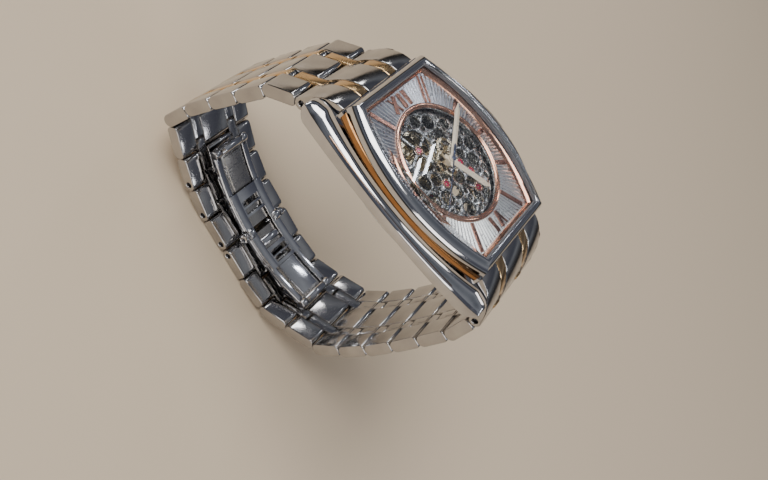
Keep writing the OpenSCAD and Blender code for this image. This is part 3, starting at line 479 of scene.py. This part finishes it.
def build_crystal():
    """Dome that bends only along Y, cut to the opening."""
    half = (OPENING[2] - CRYSTAL_GAP) / 2
    dome = (half * half + CRYSTAL_FALL ** 2) / (2 * CRYSTAL_FALL)

    def surface(y, r):
        return CRYSTAL_TOP - dome + math.sqrt(r * r - y * y)

    rows = 48
    loops_top, loops_low = [], []
    for i in range(rows + 1):
        y = half * (2 * i / rows - 1)
        width = bow_x(*(size - CRYSTAL_GAP for size in OPENING), y)
        xs = [width * (2 * j / 16 - 1) for j in range(17)]
        loops_top.append([(x, y, surface(y, dome)) for x in xs])
        loops_low.append([(x, y, surface(y, dome - CRYSTAL_T)) for x in xs])
    bm = loft([top + low[::-1] for top, low in zip(loops_top, loops_low)], caps=False)
    for loop_top, loop_low in ((loops_top[0], loops_low[0]), (loops_top[-1], loops_low[-1])):
        verts = [[bm.verts.new(p) for p in loop] for loop in (loop_top, loop_low)]
        for j in range(16):
            bm.faces.new((verts[0][j], verts[0][j + 1], verts[1][j + 1], verts[1][j]))
    bmesh.ops.remove_doubles(bm, verts=bm.verts, dist=1e-5)
    bmesh.ops.recalc_face_normals(bm, faces=bm.faces)
    piece("crystal_dome", [bm], "case", ["crystal"], [GLASS])


# ---- Dial --------------------------------------------------------------------------
def edge_radius(angle, mid, end, length):
    """Distance from the centre to the tonneau outline in a direction."""
    c, s = abs(math.cos(angle)), abs(math.sin(angle))
    low, high = 0.0, 30.0
    for _ in range(40):
        r = (low + high) / 2
        inside = r * s < length / 2 and r * c < bow_x(mid, end, length, min(r * s, length / 2))
        low, high = (r, high) if inside else (low, r)
    return low


def dial_edge(hour, margin):
    """Direction of an hour in radians, and how far a margin inside the opening lies that way."""
    a = math.radians(90 - 30 * hour)
    return a, edge_radius(a, *(size - margin for size in OPENING))


def build_dial():
    rays = 120
    size = (OPENING[0] + 1.8, OPENING[1] + 1.2, OPENING[2] + 1.0)
    loops = []
    for i in range(rays * 2):
        a = 2 * PI * i / (rays * 2)
        c, s = math.cos(a), math.sin(a)
        r_out = edge_radius(a, *size)
        lift = PLEAT if i % 2 else 0.0
        loops.append([(r * c, r * s, z) for r, z in (
            (WINDOW_R, DIAL_LOW), (WINDOW_R, VALLEY), (WINDOW_R + 0.5, VALLEY + 0.03),
            (WINDOW_R + 0.9, VALLEY + lift), (r_out, VALLEY + lift), (r_out, DIAL_LOW))])
    sheet = loft(loops, ring=True)
    # Every other face takes the darker silver copy: painted shade on one slope of each pleat
    for face in sheet.faces:
        middle = face.calc_center_median()
        face.material_index = int((math.atan2(middle.y, middle.x) / PI + 1) * rays) % 2
    piece("dial_rays", [sheet], "case", ["dial"], [SILVER, PAINTED_PLEAT_SHADE], angle=3)

    ring = [(-0.1, 0.0), (-0.08, 0.3), (0.1, 0.42), (0.35, 0.34), (0.5, 0.2), (0.62, 0.2),
            (0.75, 0.32), (0.9, 0.3), (0.95, 0.0)]
    ring = turned([(WINDOW_R + dr, DIAL_TOP + dz) for dr, dz in ring], 120)
    piece("window_ring", [loft(ring, ring=True)], "case", ["aperture_ring"], [ROSE])

    flange = [(0.0, -1.48), (0.0, -0.66), (0.2, -0.66), (0.45, -0.85), (0.8, -1.3), (0.85, -1.48)]
    loops = []
    for d, z in flange:
        loops.append(at_z(bowed(*(size - 0.1 - 2 * d for size in OPENING)), z))
    piece("flange_frame", [loft(loops, ring=True)], "case", ["dial_flange"], [ROSE])

    parts = []
    inner, high = WINDOW_R + 1.1, OPENING[2] / 2 - 1.25

    def stroke(x0, y0, x1, y1, w, matrix=None):
        length = math.hypot(x1 - x0, y1 - y0)
        bm = block(-length / 2, -w / 2, 0, length / 2, w / 2, 0.28, 0.1, 1)
        place = at((x0 + x1) / 2, (y0 + y1) / 2, DIAL_TOP)
        place = place @ Matrix.Rotation(math.atan2(y1 - y0, x1 - x0), 4, "Z")
        parts.append(part(bm, 0, (matrix or Matrix()) @ place))

    for x0, x1, w in ((-3.0, -1.0, 0.95), (-1.0, -3.0, 0.5), (0.45, 0.45, 0.95), (2.1, 2.1, 0.95)):
        stroke(x0, inner, x1, high, w)
    for x0, x1, w in ((1.25, 2.15, 0.5), (1.25, 0.35, 0.95), (-1.5, -1.5, 0.95)):
        stroke(x0, -inner, x1, -high, w)
    for hour in (1, 2, 3, 4, 5, 7, 8, 9, 10, 11):
        a, reach = dial_edge(hour, 2.4)
        m = Matrix.Rotation(a, 4, "Z")
        offsets = (-0.5, 0.5) if hour == 1 else (0.0,)
        for off in offsets:
            stroke(inner, off, reach, off, 0.55 if len(offsets) == 2 else 1.0, m)
    for minute in range(60):
        if minute % 5 == 0:
            continue
        a, reach = dial_edge(minute / 5, 2.2)
        r = reach - 0.15
        dot = lathe([(0, 0.1), (0.1, 0.08), (0.14, 0.0)], 8,
                    at(r * math.cos(a), r * math.sin(a), DIAL_TOP))
        parts.append(part(dot))
    piece("numerals", parts, "case", ["hour_markers"], [NUMERAL])


# ---- Hands -------------------------------------------------------------------------
def hand(length, width, tail, z0, z1, ridge):
    """Pointed bar with a ridge along its middle, pointing to +Y."""
    w = width / 2
    outline = [(-w * 0.8, -tail), (-w, 0), (-w, length * 0.86), (0, length), (w, length * 0.86),
               (w, 0), (w * 0.8, -tail)]
    spine = [(0, -tail), (0, 0), (0, length * 0.86), (0, length), (0, length * 0.86), (0, 0),
             (0, -tail)]
    return loft([at_z(spine, z0), at_z(outline, z0), at_z(outline, z1),
                 [(x, y, z1 + ridge) for x, y in spine]])


def hub(r0, r1, z0, z1):
    edge = 0.06
    profile = [(r0, z0), (r1, z0), (r1, z1 - edge), (r1 - edge, z1), (r0, z1)]
    return loft(turned(profile, 32), ring=True)


def build_hands():
    minute_turn, hour_turn, second_turn = -60, -155, -240
    bar = part(hand(14.2, 1.15, -0.75, -0.45, -0.36, 0.12), 0, turn(minute_turn))
    tail = part(hand(1.9, 0.8, -0.75, -0.45, -0.36, 0.08), 0, turn(minute_turn + 180))
    piece("minute_bar", [bar, tail, hub(0.27, 0.85, -0.45, -0.2)], "center",
          ["minute_hand"], [HAND])
    bar = part(hand(9.7, 1.35, -0.85, -0.86, -0.78, 0.14), 0, turn(hour_turn))
    tail = part(hand(1.7, 0.9, -0.85, -0.86, -0.78, 0.08), 0, turn(hour_turn + 180))
    collar = hub(0.47, 0.68, -1.95, -0.86)
    wheel = gear_wheel(0.1344, 40, 5, 0.9, -2.12, -1.95, 0.47)
    piece("hour_bar", [bar, tail, hub(0.47, 0.95, -0.86, -0.62), collar, part(wheel, 1)],
          "hour", ["hour_hand"], [HAND, BRASS])
    needle = part(hand(13.3, 0.26, -0.3, -0.04, 0.0, 0.04), 0, turn(second_turn))
    tail = part(hand(3.6, 0.6, -0.3, -0.04, 0.0, 0.04), 0, turn(second_turn + 180))
    cap = lathe([(0.5, -0.05), (0.5, 0.05), (0.42, 0.14), (0.2, 0.2), (0.0, 0.21)], 32)
    piece("seconds_needle", [needle, tail, cap], "fourth", ["seconds_hand"],
          [BLUED])


# ---- Movement ----------------------------------------------------------------------
def polar(r, degrees):
    return r * math.cos(math.radians(degrees)), r * math.sin(math.radians(degrees))


def in_dial(name):
    """A joint's place in the dial frame, in millimetres."""
    p = DIAL.inverted() @ joint_pos(name)
    return p.x, p.y


PIVOT = {key: in_dial(key + "_spin") for key in ("barrel", "third", "escape")}
PIVOT["pallet"], PIVOT["balance"] = in_dial("pallet_swing"), in_dial("balance_swing")


# Tooth height above and depth below the pitch circle, in modules
ADDENDUM, DEDENDUM = 0.75, 1.15


def gear_outline(module, teeth):
    pitch = 2 * PI / teeth
    root, tip = module * (teeth / 2 - DEDENDUM), module * (teeth / 2 + ADDENDUM)
    points = []
    for i in range(teeth):
        a = i * pitch
        for r, da in ((root, -0.25), (tip, -0.1), (tip, 0.1), (root, 0.25)):
            points.append((r * math.cos(a + da * pitch), r * math.sin(a + da * pitch)))
    return points


def spoke_windows(spokes, r0, r1, gap, start=0.0):
    """Holes between the spokes of a wheel."""
    loops = []
    for k in range(spokes):
        a0 = start + 360 / spokes * k
        a1 = a0 + 360 / spokes
        d0, d1 = math.degrees(gap / r0), math.degrees(gap / r1)
        loops.append(arc(r1, 0, 0, a0 + d1, a1 - d1, 12) + arc(r0, 0, 0, a1 - d0, a0 + d0, 6))
    return loops


def gear_wheel(module, teeth, spokes, hub_r, z0, z1, bore):
    rim = module * (teeth / 2 - DEDENDUM) - 0.4
    loops = [gear_outline(module, teeth)] + spoke_windows(spokes, hub_r, rim, 0.17)
    return plate(loops + [circle(bore, n=24)], z0, z1, 0.03)


def packed_holes(seed, count, reach, keep_out, small, large):
    """Round holes of mixed sizes that keep a web between them."""
    rng = random.Random(seed)
    holes = []
    for step in range(count * 60):
        r = large - (large - small) * min(1.0, step / (count * 40))
        x, y = polar(rng.uniform(0, reach), rng.uniform(0, 360))
        if math.hypot(x, y) + r > reach:
            continue
        if any(math.hypot(x - px, y - py) < r + pr for px, py, pr in keep_out):
            continue
        if any(math.hypot(x - hx, y - hy) < r + hr + 0.26 for hx, hy, hr in holes):
            continue
        holes.append((x, y, r))
        if len(holes) == count:
            break
    return holes


def chaton(x, y, z, r):
    """Gold setting round a ruby bearing, seen from the dial side."""
    return lathe([(r * 0.62, 0.0), (r * 0.62, 0.12), (r * 0.75, 0.16), (r, 0.1), (r, 0.0)], 32,
                 at(x, y, z))


def screw_head(x, y, z, r):
    return lathe([(0, 0.12), (r * 0.7, 0.12), (r * 0.92, 0.08), (r, 0.0), (r, -0.15), (0, -0.15)],
                 24, at(x, y, z))


def build_movement():
    plate_low, plate_top = -3.25, -2.55
    keep = [(0, 0, 1.5)] + [(x, y, 0.95) for x, y in PIVOT.values()]
    bx, by = PIVOT["barrel"]
    wx, wy = PIVOT["balance"]
    keep_web = keep + [(bx, by, 4.5), (wx, wy, 3.2)]
    holes = packed_holes(11, 74, 11.2, keep_web, 0.32, 1.55)
    loops = [circle(12.3, n=96)] + [circle(r, x, y, 28) for x, y, r in holes]
    loops.append(circle(1.0, n=32))
    for (x, y), reach, spokes in (((bx, by), 4.2, 4), ((wx, wy), 2.95, 3)):
        for loop in spoke_windows(spokes, 1.15, reach, 0.3, 20):
            loops.append([(x + px, y + py) for px, py in loop])
    for x, y in PIVOT.values():
        loops.append(circle(0.34, x, y, 24))
    parts = [part(plate(loops, plate_low, plate_top, 0.1, 1))]
    rim = [(12.0, -6.85), (13.35, -6.85), (13.38, -6.7), (13.38, -2.6), (13.3, -2.52),
           (12.0, -2.52)]
    parts.append(part(loft(turned(rim, 96), ring=True)))
    for a in (15, 75, 140, 205, 262, 318):
        x, y = polar(10.9, a)
        if all(math.hypot(x - hx, y - hy) > hr + 0.35 for hx, hy, hr in holes):
            parts.append(part(screw_head(x, y, plate_top + 0.05, 0.42), 1))
    for x, y in PIVOT.values():
        parts.append(part(chaton(x, y, plate_top - 0.01, 0.98), 2))
    piece("openwork_plate", parts, "case", ["main_plate"],
          [PLATE, DARK_STEEL, ROSE])


build_case()
build_crystal()
build_dial()
build_hands()
build_movement()


# ---- Links -------------------------------------------------------------------------
PITCH, HALF_T, LINK_END = 7.5, 1.4, 1.52
CENTRE, GOLD_X, EDGE_IN = 3.85, 5.2, 6.55
BAND_W, CLASP_BAND_W = 25.0, 21.2
PIN_R = 0.5
FOOT = 3.18
# Half widths of the core under a gold strip, of the end links and of their pins
CORE_HALF, END_HALF_W, END_PIN = 1.34, 12.47, 11.8
# The 6 o'clock pin stops this far from the middle of each gold strip
PIN_CUT = 1.75
# Last hinge of each end link in the dial frame: distance from the middle, and height
END_HINGE_12, END_HINGE_6 = (25.2, -9.4), (25.8, -10.4)


def steel_profile(far=0.0):
    """Side of a link: blunt rounded nose, domed faces and a round lobe, or a cut at far."""
    top = arc(0.9, LINK_END + 0.9, HALF_T - 0.92, 180, 90, 8)
    foot = arc(0.9, LINK_END + 0.9, 0.92 - HALF_T, 270, 180, 8)
    if far:
        return top + [(far, HALF_T - 0.02), (far, 0.02 - HALF_T)] + foot
    return top + arc(HALF_T - 0.02, PITCH, 0, 90, -90, 18) + foot


def link_parts(half_w, at_clasp, open_pins):
    hole = circle(PIN_R + 0.1, PITCH, 0, 20)
    parts = []
    for s in (-1, 1):
        x0, x1 = sorted((s * EDGE_IN, s * (half_w - 0.03)))
        loops = [steel_profile(), hole] if open_pins else [steel_profile()]
        parts.append(part(across(loops, x0, x1, 0.3, 3), 0))
        x = s * GOLD_X
        if at_clasp:
            x0, x1 = sorted((s * (FOOT + 0.02), s * CENTRE))
            parts.append(part(across([steel_profile()], x0, x1, 0.1), 0))
        reach = PITCH - 1.62
        core = [(LINK_END + 0.1, -1.3), (reach, -1.3), (reach, 0.85), (LINK_END + 0.1, 0.85)]
        parts.append(part(across([core], x - CORE_HALF, x + CORE_HALF, 0.05), 0))
        step = [(LINK_END + 0.5, -1.38), (reach - 1.6, -1.38), (reach - 1.6, -1.0),
                (LINK_END + 0.5, -1.0)]
        parts.append(part(across([step], x - 0.9, x + 0.9, 0.1), 0))
        knuckle = arc(1.19, 0, 0, 90, 270, 16) + [(LINK_END + 0.4, -1.19), (LINK_END + 0.4, 1.1)]
        parts.append(part(across([knuckle, circle(PIN_R + 0.05, n=20)], x - 1.2, x + 1.2, 0.08), 0))
        strip = (arc(0.5, -0.35, 0.83, 180, 90, 4) + [(2.5, 1.37)]
                 + arc(0.5, reach - 0.5, 0.87, 90, 0, 4) + [(reach, 0.35), (-0.85, 0.35)])
        parts.append(part(across([strip], x - 1.22, x + 1.22, 0.3, 3), 1))
        if at_clasp:
            tail = ([(reach, 0.9), (PITCH, 0.9)] + arc(1.36, PITCH, 0, 40, -90, 10)
                    + [(reach, -1.36)])
            parts.append(part(across([tail], x - CORE_HALF, x + CORE_HALF, 0.1), 0))
    if at_clasp:
        parts.append(part(across([steel_profile(PITCH - 1.42)], -FOOT - 0.1, FOOT + 0.1, 0.1), 0))
    else:
        parts.append(part(across([steel_profile()], -CENTRE, CENTRE, 0.16, 2), 0))
    reach = half_w - (0.75 if open_pins else 1.2)
    parts.append(part(rod_x(PIN_R, -reach, reach, PITCH), 2))
    return parts


def side_matrix(start, end, outward):
    """Link frame: Y from one hinge to the next, Z outward, X across the bracelet."""
    along = (end - start).normalized()
    out = Vector((0, -along.z, along.y))
    if out.dot(outward) < 0:
        out.negate()
    across_x = along.cross(out)
    m = Matrix((across_x, along, out)).transposed().to_4x4()
    return Matrix.Translation(start) @ m @ TO_MM


def build_links():
    loop_mid = Vector((0, -0.004, 0.028))
    open_pivot = DIAL @ Vector((0, -END_HINGE_6[0], END_HINGE_6[1]))
    chain_12 = [joint_pos(f"link_12_{k}_hinge") for k in range(1, 10)] + [joint_pos("clasp_open")]
    chain_6 = [open_pivot] + [joint_pos(f"link_6_{k}_hinge") for k in range(1, 10)]
    chain_6.append(joint_pos("clasp_blade_6_hinge"))
    for side, chain in (("12", chain_12), ("6", chain_6)):
        count = len(chain) - 1
        for k, (a, b) in enumerate(zip(chain, chain[1:]), 1):
            node = f"link_{side}_{k}"
            half_w = (BAND_W + (CLASP_BAND_W - BAND_W) * k / count) / 2
            matrix = side_matrix(a, b, (a + b) / 2 - loop_mid)
            open_pins = node in ("link_12_7", "link_12_8", "link_12_9", "link_6_10")
            piece(node + "_look", link_parts(half_w, k == count, open_pins), node,
                  [node], [LINK_STEEL, GOLD, DARK_STEEL], matrix)


def end_link(name, outline, core, strip, hinge_at, flip):
    parts = []
    hole = circle(PIN_R + 0.1, *hinge_at, 20)
    for x0, x1 in ((-END_HALF_W, -EDGE_IN), (-CENTRE, CENTRE), (EDGE_IN, END_HALF_W)):
        parts.append(part(across([outline, hole], x0, x1, 0.22, 2), 0))
    for s in (-1, 1):
        x = s * GOLD_X
        parts.append(part(across([core], x - CORE_HALF, x + CORE_HALF, 0.05), 0))
        parts.append(part(across([strip], x - 1.24, x + 1.24, 0.3, 3), 1))
        if flip:
            x0, x1 = sorted((s * END_PIN, s * (GOLD_X + PIN_CUT)))
            parts.append(part(rod_x(PIN_R, x0, x1, *hinge_at), 2))
    if flip:
        parts.append(part(rod_x(PIN_R, -GOLD_X + PIN_CUT, GOLD_X - PIN_CUT, *hinge_at), 2))
    else:
        parts.append(part(rod_x(PIN_R, -END_PIN, END_PIN, *hinge_at), 2))
    matrix = DIAL @ Matrix.Scale(-1, 4, (0, 1, 0)) if flip else DIAL
    piece(name + "_look", parts, "case", [name], [LINK_STEEL, GOLD, DARK_STEEL],
          matrix)


def build_end_links():
    outline = ([(19.4, -7.85), (19.4, -2.35), (20.3, -2.58), (21.2, -2.95), (22.4, -3.68),
                (23.5, -4.6), (24.5, -5.65), (25.2, -6.7)]
               + arc(1.38, *END_HINGE_12, 52, -110, 14) + [(22.05, -9.15)])
    core = [(19.5, -7.8), (19.5, -3.0), (21.1, -3.5), (22.3, -4.2), (23.4, -5.15), (24.35, -6.1),
            (22.5, -8.6), (21.9, -8.9)]
    strip = [(19.45, -3.2), (19.45, -2.45), (20.3, -2.66), (21.2, -3.02), (22.4, -3.76),
             (23.4, -4.65), (24.2, -5.5), (24.35, -5.95), (23.9, -6.1), (21.0, -3.8)]
    end_link("end_link_12", outline, core, strip, END_HINGE_12, False)
    outline = ([(19.4, -7.85), (19.4, -2.35), (20.3, -2.58), (21.2, -2.95), (22.4, -3.7),
                (23.6, -4.75), (24.6, -5.85), (25.5, -7.05), (26.2, -8.4), (26.65, -9.5)]
               + arc(1.28, *END_HINGE_6, 12, -168, 14) + [(22.05, -9.15)])
    core = [(19.5, -7.8), (19.5, -3.0), (21.1, -3.5), (22.4, -4.3), (23.5, -5.3), (24.6, -6.7),
            (25.3, -7.95), (22.3, -7.95)]
    strip = [(19.45, -3.2), (19.45, -2.45), (20.3, -2.66), (21.2, -3.02), (22.4, -3.78),
             (23.5, -4.78), (24.5, -5.9), (25.3, -7.05), (25.65, -7.8), (25.1, -7.85),
             (23.8, -6.0), (21.0, -3.8)]
    end_link("end_link_6", outline, core, strip, END_HINGE_6, True)


build_links()
build_end_links()


# ---- Clasp -------------------------------------------------------------------------
HINGE_Y, HINGE_Z, ARCH_LOW = 19.2, 8.1, 4.0
ARCH_R = (HINGE_Y ** 2 + (HINGE_Z - ARCH_LOW) ** 2) / (2 * (HINGE_Z - ARCH_LOW))
ARCH_Z = ARCH_LOW + ARCH_R
BUTTON_Z = ARCH_LOW + 0.45
RAIL_IN, RAIL_OUT = 3.65, 5.36
BLADE_HALF, SHEET_LOW, RAIL_HALF_T = 3.36, -0.54, 0.54
TUBE_R, PIN_HOLE_R = 1.03, 0.55


def arch_z(y, offset=0.0):
    r = ARCH_R - offset
    return ARCH_Z - math.sqrt(r * r - y * y)


def arched(x0, x1, y0, y1, low, high, edge=0.15, n=18, steps=2):
    """Bar that follows the clasp's arch, from offset low to offset high above its middle line."""
    top = [(y0 + (y1 - y0) * i / n, arch_z(y0 + (y1 - y0) * i / n, high)) for i in range(n + 1)]
    bottom = [(y0 + (y1 - y0) * i / n, arch_z(y0 + (y1 - y0) * i / n, low)) for i in range(n + 1)]
    return across([bottom + top[::-1]], x0, x1, edge, steps)


def blade_parts(panel_high, panel_mat):
    """Blade drawn on the +Y side: sheet, middle panel, hinge tube and foot."""
    parts = [part(arched(-BLADE_HALF, BLADE_HALF, 0.8, 5.0, SHEET_LOW, 0.4, 0.1, 6), 0),
             part(arched(-BLADE_HALF, BLADE_HALF, 8.4, 18.6, SHEET_LOW, 0.2, 0.12), 0),
             part(arched(-2.75, 2.75, 9.7, 17.6, 0.0, panel_high, 0.2, steps=3), panel_mat)]
    for s in (-1, 1):
        x0, x1 = sorted((s * 2.2, s * BLADE_HALF))
        parts.append(part(arched(x0, x1, 4.9, 8.5, SHEET_LOW, 0.4, 0.08, 6), 0))
    foot = arc(1.04, LINK_END, HALF_T, 180, 360, 16) + [(2.46, 3.9), (0.78, 3.9)]
    hole = circle(PIN_R + 0.05, LINK_END, HALF_T, 20)
    parts.append(part(across([foot, hole], -3.08, 3.08, 0.1), 0))
    tube = [circle(TUBE_R, HINGE_Y, HINGE_Z, 32), circle(PIN_HOLE_R, HINGE_Y, HINGE_Z, 24)]
    parts.append(part(across(tube, -BLADE_HALF, BLADE_HALF, 0.1), 1))
    return parts


def build_clasp():
    piece("blade_12_look", blade_parts(0.44, 0), "clasp_blade_12",
          ["clasp_blade_12"], [SATIN, POLISHED, DARK_STEEL], CLASP)
    catch = arc(1.18, 3.4, ARCH_LOW - 0.25, 0, 180, 20)
    parts = blade_parts(0.5, 1) + [part(across([catch], -2.78, 2.78, 0.12, 2), 1)]
    piece("blade_6_look", parts, "clasp_blade_6", ["clasp_blade_6"],
          [SATIN, POLISHED, DARK_STEEL], CLASP @ Matrix.Scale(-1, 4, (0, 1, 0)))
    parts = []
    for s in (-1, 1):
        x0, x1 = sorted((s * RAIL_IN, s * RAIL_OUT))
        rail = arched(x0, x1, -HINGE_Y, HINGE_Y, -RAIL_HALF_T, RAIL_HALF_T, 0.25, 40, 3)
        parts.append(part(rail, 0))
        for e in (-1, 1):
            outer = circle(1.04, e * HINGE_Y, HINGE_Z, 32)
            parts.append(part(across([outer], x0, x1, 0.15, 2), 0))
            head = [(0.0, 0.16), (0.4, 0.16), (0.62, 0.1), (0.74, 0.0)]
            parts.append(part(lathe(head, 20, at(s * RAIL_OUT, e * HINGE_Y, HINGE_Z)
                                    @ turn(90 * s, "Y")), 2))
            rivet = lathe([(0.0, 0.12), (0.28, 0.1), (0.4, 0.0)], 16,
                          at(s * 4.4, e * (HINGE_Y - 1.2), arch_z(HINGE_Y - 1.2, 0.52)))
            parts.append(part(rivet, 2))
        outer, bore = circle(1.28, 0, BUTTON_Z, 32), circle(0.76, 0, BUTTON_Z, 24)
        parts.append(part(across([outer, bore], x0, x1, 0.12, 2), 0))
        x0, x1 = sorted((s * 3.02, s * RAIL_OUT))
        parts.append(part(arched(x0, x1, -9.45, 9.45, 0.56, 1.04, 0.12, 24), 0))
        for y0, y1 in ((-9.4, -5.0), (3.4, 9.4)):
            x0, x1 = sorted((s * 2.62, s * 3.2))
            parts.append(part(arched(x0, x1, y0, y1, 0.58, 1.02, 0.05, 6), 0))
    for y0, y1 in ((-9.44, -8.7), (-7.4, -7.1), (-5.8, -4.9), (3.3, 3.9), (5.2, 5.7), (7.0, 9.44)):
        parts.append(part(arched(-3.2, 3.2, y0, y1, 0.57, 1.03, 0.06, 6), 0))
    for e in (-1, 1):
        parts.append(part(rod_x(0.48, -3.8, 3.8, e * HINGE_Y, HINGE_Z), 1))
    piece("clasp_frame_look", parts, "clasp_frame", ["clasp_frame"],
          [POLISHED, SATIN, DARK_STEEL], CLASP)
    for s, name in ((1, "clasp_button_right"), (-1, "clasp_button_left")):
        profile = [(0.0, 0.0), (0.66, 0.0), (0.69, 0.1), (0.69, 1.86), (1.0, 1.9), (1.09, 2.0),
                   (1.09, 2.5), (1.0, 2.7), (0.7, 2.77), (0.62, 2.7), (0.0, 2.72)]
        knob = lathe(profile, 40, at(s * 4.27, 0, BUTTON_Z) @ turn(90 * s, "Y"))
        piece(name + "_look", [knob], name, [name], [POLISHED], CLASP)


CROWN_X, STEM_Z, FLUTES, FLUTE_DEPTH = 19.38, -5.1, 24, 0.16


def build_crown():
    m = at(CROWN_X, 0, STEM_Z) @ turn(90, "Y")
    loops = []
    for r, z in ((1.4, 0), (2.5, 0), (2.86, 0.3), (2.86, 2.5), (2.5, 2.92), (1.9, 3.0), (1.7, 2.9),
                 (0.6, 2.96), (0.02, 2.96)):
        loop = []
        for i in range(FLUTES * 6):
            a = 2 * PI * i / (FLUTES * 6)
            groove = FLUTE_DEPTH * max(0, math.cos(a * FLUTES)) ** 2 if r > 2.7 else 0
            loop.append(((r - groove) * math.cos(a), (r - groove) * math.sin(a), z))
        loops.append(loop)
    body = loft(loops, caps=True)
    piece("crown_look", [part(body, 0, m)], "crown", ["crown"], [POLISHED],
          angle=40)


build_clasp()
build_crown()

# ---- Finishes of the nodes that stay -------------------------------------------------
KEPT = {
    "gaskets": RUBBER, "crown_gasket": RUBBER, "case_back": BACK_STEEL, "back_crystal": GLASS,
    "screws": DARK_STEEL, "spring_bars": SATIN, "barrel_bridge": PLATE, "train_bridge": PLATE,
    "balance_cock": PLATE, "jewels": RUBY, "barrel": BRASS, "center_wheel": BRASS,
    "third_wheel": BRASS, "fourth_wheel": BRASS, "escape_wheel": SATIN, "pallet_fork": SATIN,
    "balance_wheel": BRASS, "hairspring": BLUED, "rotor": PLATE, "minute_wheel": BRASS,
    "winding_stem": SATIN,
}
for node, material in KEPT.items():
    obj = frame["nodes"][node]
    obj.data.materials.clear()
    obj.data.materials.append(material)

# ---- Floor, light and camera ---------------------------------------------------------
floor_mesh = bpy.data.meshes.new("floor")
FLOOR_HALF = 1.5
floor_mesh.from_pydata([(x * FLOOR_HALF, y * FLOOR_HALF, 0)
                        for x, y in ((-1, -1), (1, -1), (1, 1), (-1, 1))], [], [(0, 1, 2, 3)])
floor = bpy.data.objects.new("floor", floor_mesh)
bpy.context.scene.collection.objects.link(floor)
floor.location.z = -0.00005
floor_mat, _, _, floor_shader = new_material("pale_floor")
floor_shader.inputs["Base Color"].default_value = (0.68, 0.55, 0.40, 1)
floor_shader.inputs["Roughness"].default_value = 0.55
floor_mesh.materials.append(floor_mat)

CENTRE_OF_WATCH = Vector((0, -0.004, 0.035))


def softbox(name, direction, distance, size, power, color=(1, 1, 1)):
    light = bpy.data.lights.new(name, "AREA")
    light.shape = "RECTANGLE"
    light.size, light.size_y = size
    light.energy = power
    light.color = color
    obj = bpy.data.objects.new(name, light)
    bpy.context.scene.collection.objects.link(obj)
    away = Vector(direction).normalized()
    obj.location = CENTRE_OF_WATCH + away * distance
    obj.rotation_mode = "QUATERNION"
    obj.rotation_quaternion = away.to_track_quat("Z", "Y")
    return obj


softbox("key", (-0.25, 0.9, 1.25), 0.9, (0.75, 0.5), 8.0, (1.0, 0.98, 0.95))
softbox("fill", (-1.2, -0.5, 0.6), 0.9, (0.5, 0.35), 2.2, (1.0, 0.96, 0.91))
softbox("rim", (0.5, 1.2, 0.4), 0.9, (0.6, 0.08), 1.6)
softbox("side_strip", (0.2, -1.0, 0.75), 0.9, (0.7, 0.05), 1.2, (0.93, 0.96, 1.0))
tube_twist = Matrix.Rotation(0.7, 3, "Z").to_quaternion()
for i in range(4):
    tube = softbox(f"tube_{i}", (0.71 + 0.018 * i, 0.16, 0.69 - 0.018 * i), 0.9, (0.006, 0.06),
                   0.05, (0.88, 0.92, 1.0))
    tube.rotation_quaternion = tube.rotation_quaternion @ tube_twist

world = bpy.data.worlds.new("studio")
bpy.context.scene.world = world
world.use_nodes = True
w_nodes, w_links = world.node_tree.nodes, world.node_tree.links
geo = w_nodes.new("ShaderNodeTexCoord")
split = w_nodes.new("ShaderNodeSeparateXYZ")
w_links.new(geo.outputs["Generated"], split.inputs[0])
ramp = w_nodes.new("ShaderNodeValToRGB")
ramp.color_ramp.elements[0].position = 0.0
ramp.color_ramp.elements[0].color = (0.30, 0.28, 0.25, 1)
ramp.color_ramp.elements[1].position = 1.0
ramp.color_ramp.elements[1].color = (0.22, 0.24, 0.28, 1)
for place, value in ((0.5, (0.05, 0.045, 0.04)), (0.57, (0.10, 0.10, 0.11)),
                     (0.65, (0.36, 0.38, 0.42)), (0.70, (0.13, 0.14, 0.18)),
                     (0.80, (0.20, 0.21, 0.26)), (0.88, (0.48, 0.50, 0.54))):
    element = ramp.color_ramp.elements.new(place)
    element.color = (*value, 1)
half = w_nodes.new("ShaderNodeMapRange")
half.inputs["From Min"].default_value = -1
w_links.new(split.outputs["Z"], half.inputs["Value"])
w_links.new(half.outputs["Result"], ramp.inputs["Fac"])
w_links.new(ramp.outputs["Color"], w_nodes["Background"].inputs["Color"])
w_nodes["Background"].inputs["Strength"].default_value = 0.6

camera_data = bpy.data.cameras.new("camera")
camera_data.sensor_width = 36.0
camera_data.lens = 41.85
camera_data.clip_start, camera_data.clip_end = 0.01, 10
camera = bpy.data.objects.new("camera", camera_data)
bpy.context.scene.collection.objects.link(camera)
# The camera stands in the dial frame, where it was fitted to the photograph's angle of view
CAMERA_AT = Vector((-131.18, 10.84, 101.39))
CAMERA_LOOK = Vector((0.7111, -0.0866, -0.6977))
CAMERA_UP = Vector((0.4935, 0.7683, 0.4076))
tilt = DIAL.to_3x3().normalized()
look = (tilt @ CAMERA_LOOK).normalized()
up = (tilt @ CAMERA_UP).normalized()
right = look.cross(up).normalized()
up = right.cross(look).normalized()
facing = Matrix((right, up, -look)).transposed().to_4x4()
camera.matrix_world = Matrix.Translation(DIAL @ CAMERA_AT) @ facing
bpy.context.scene.camera = camera
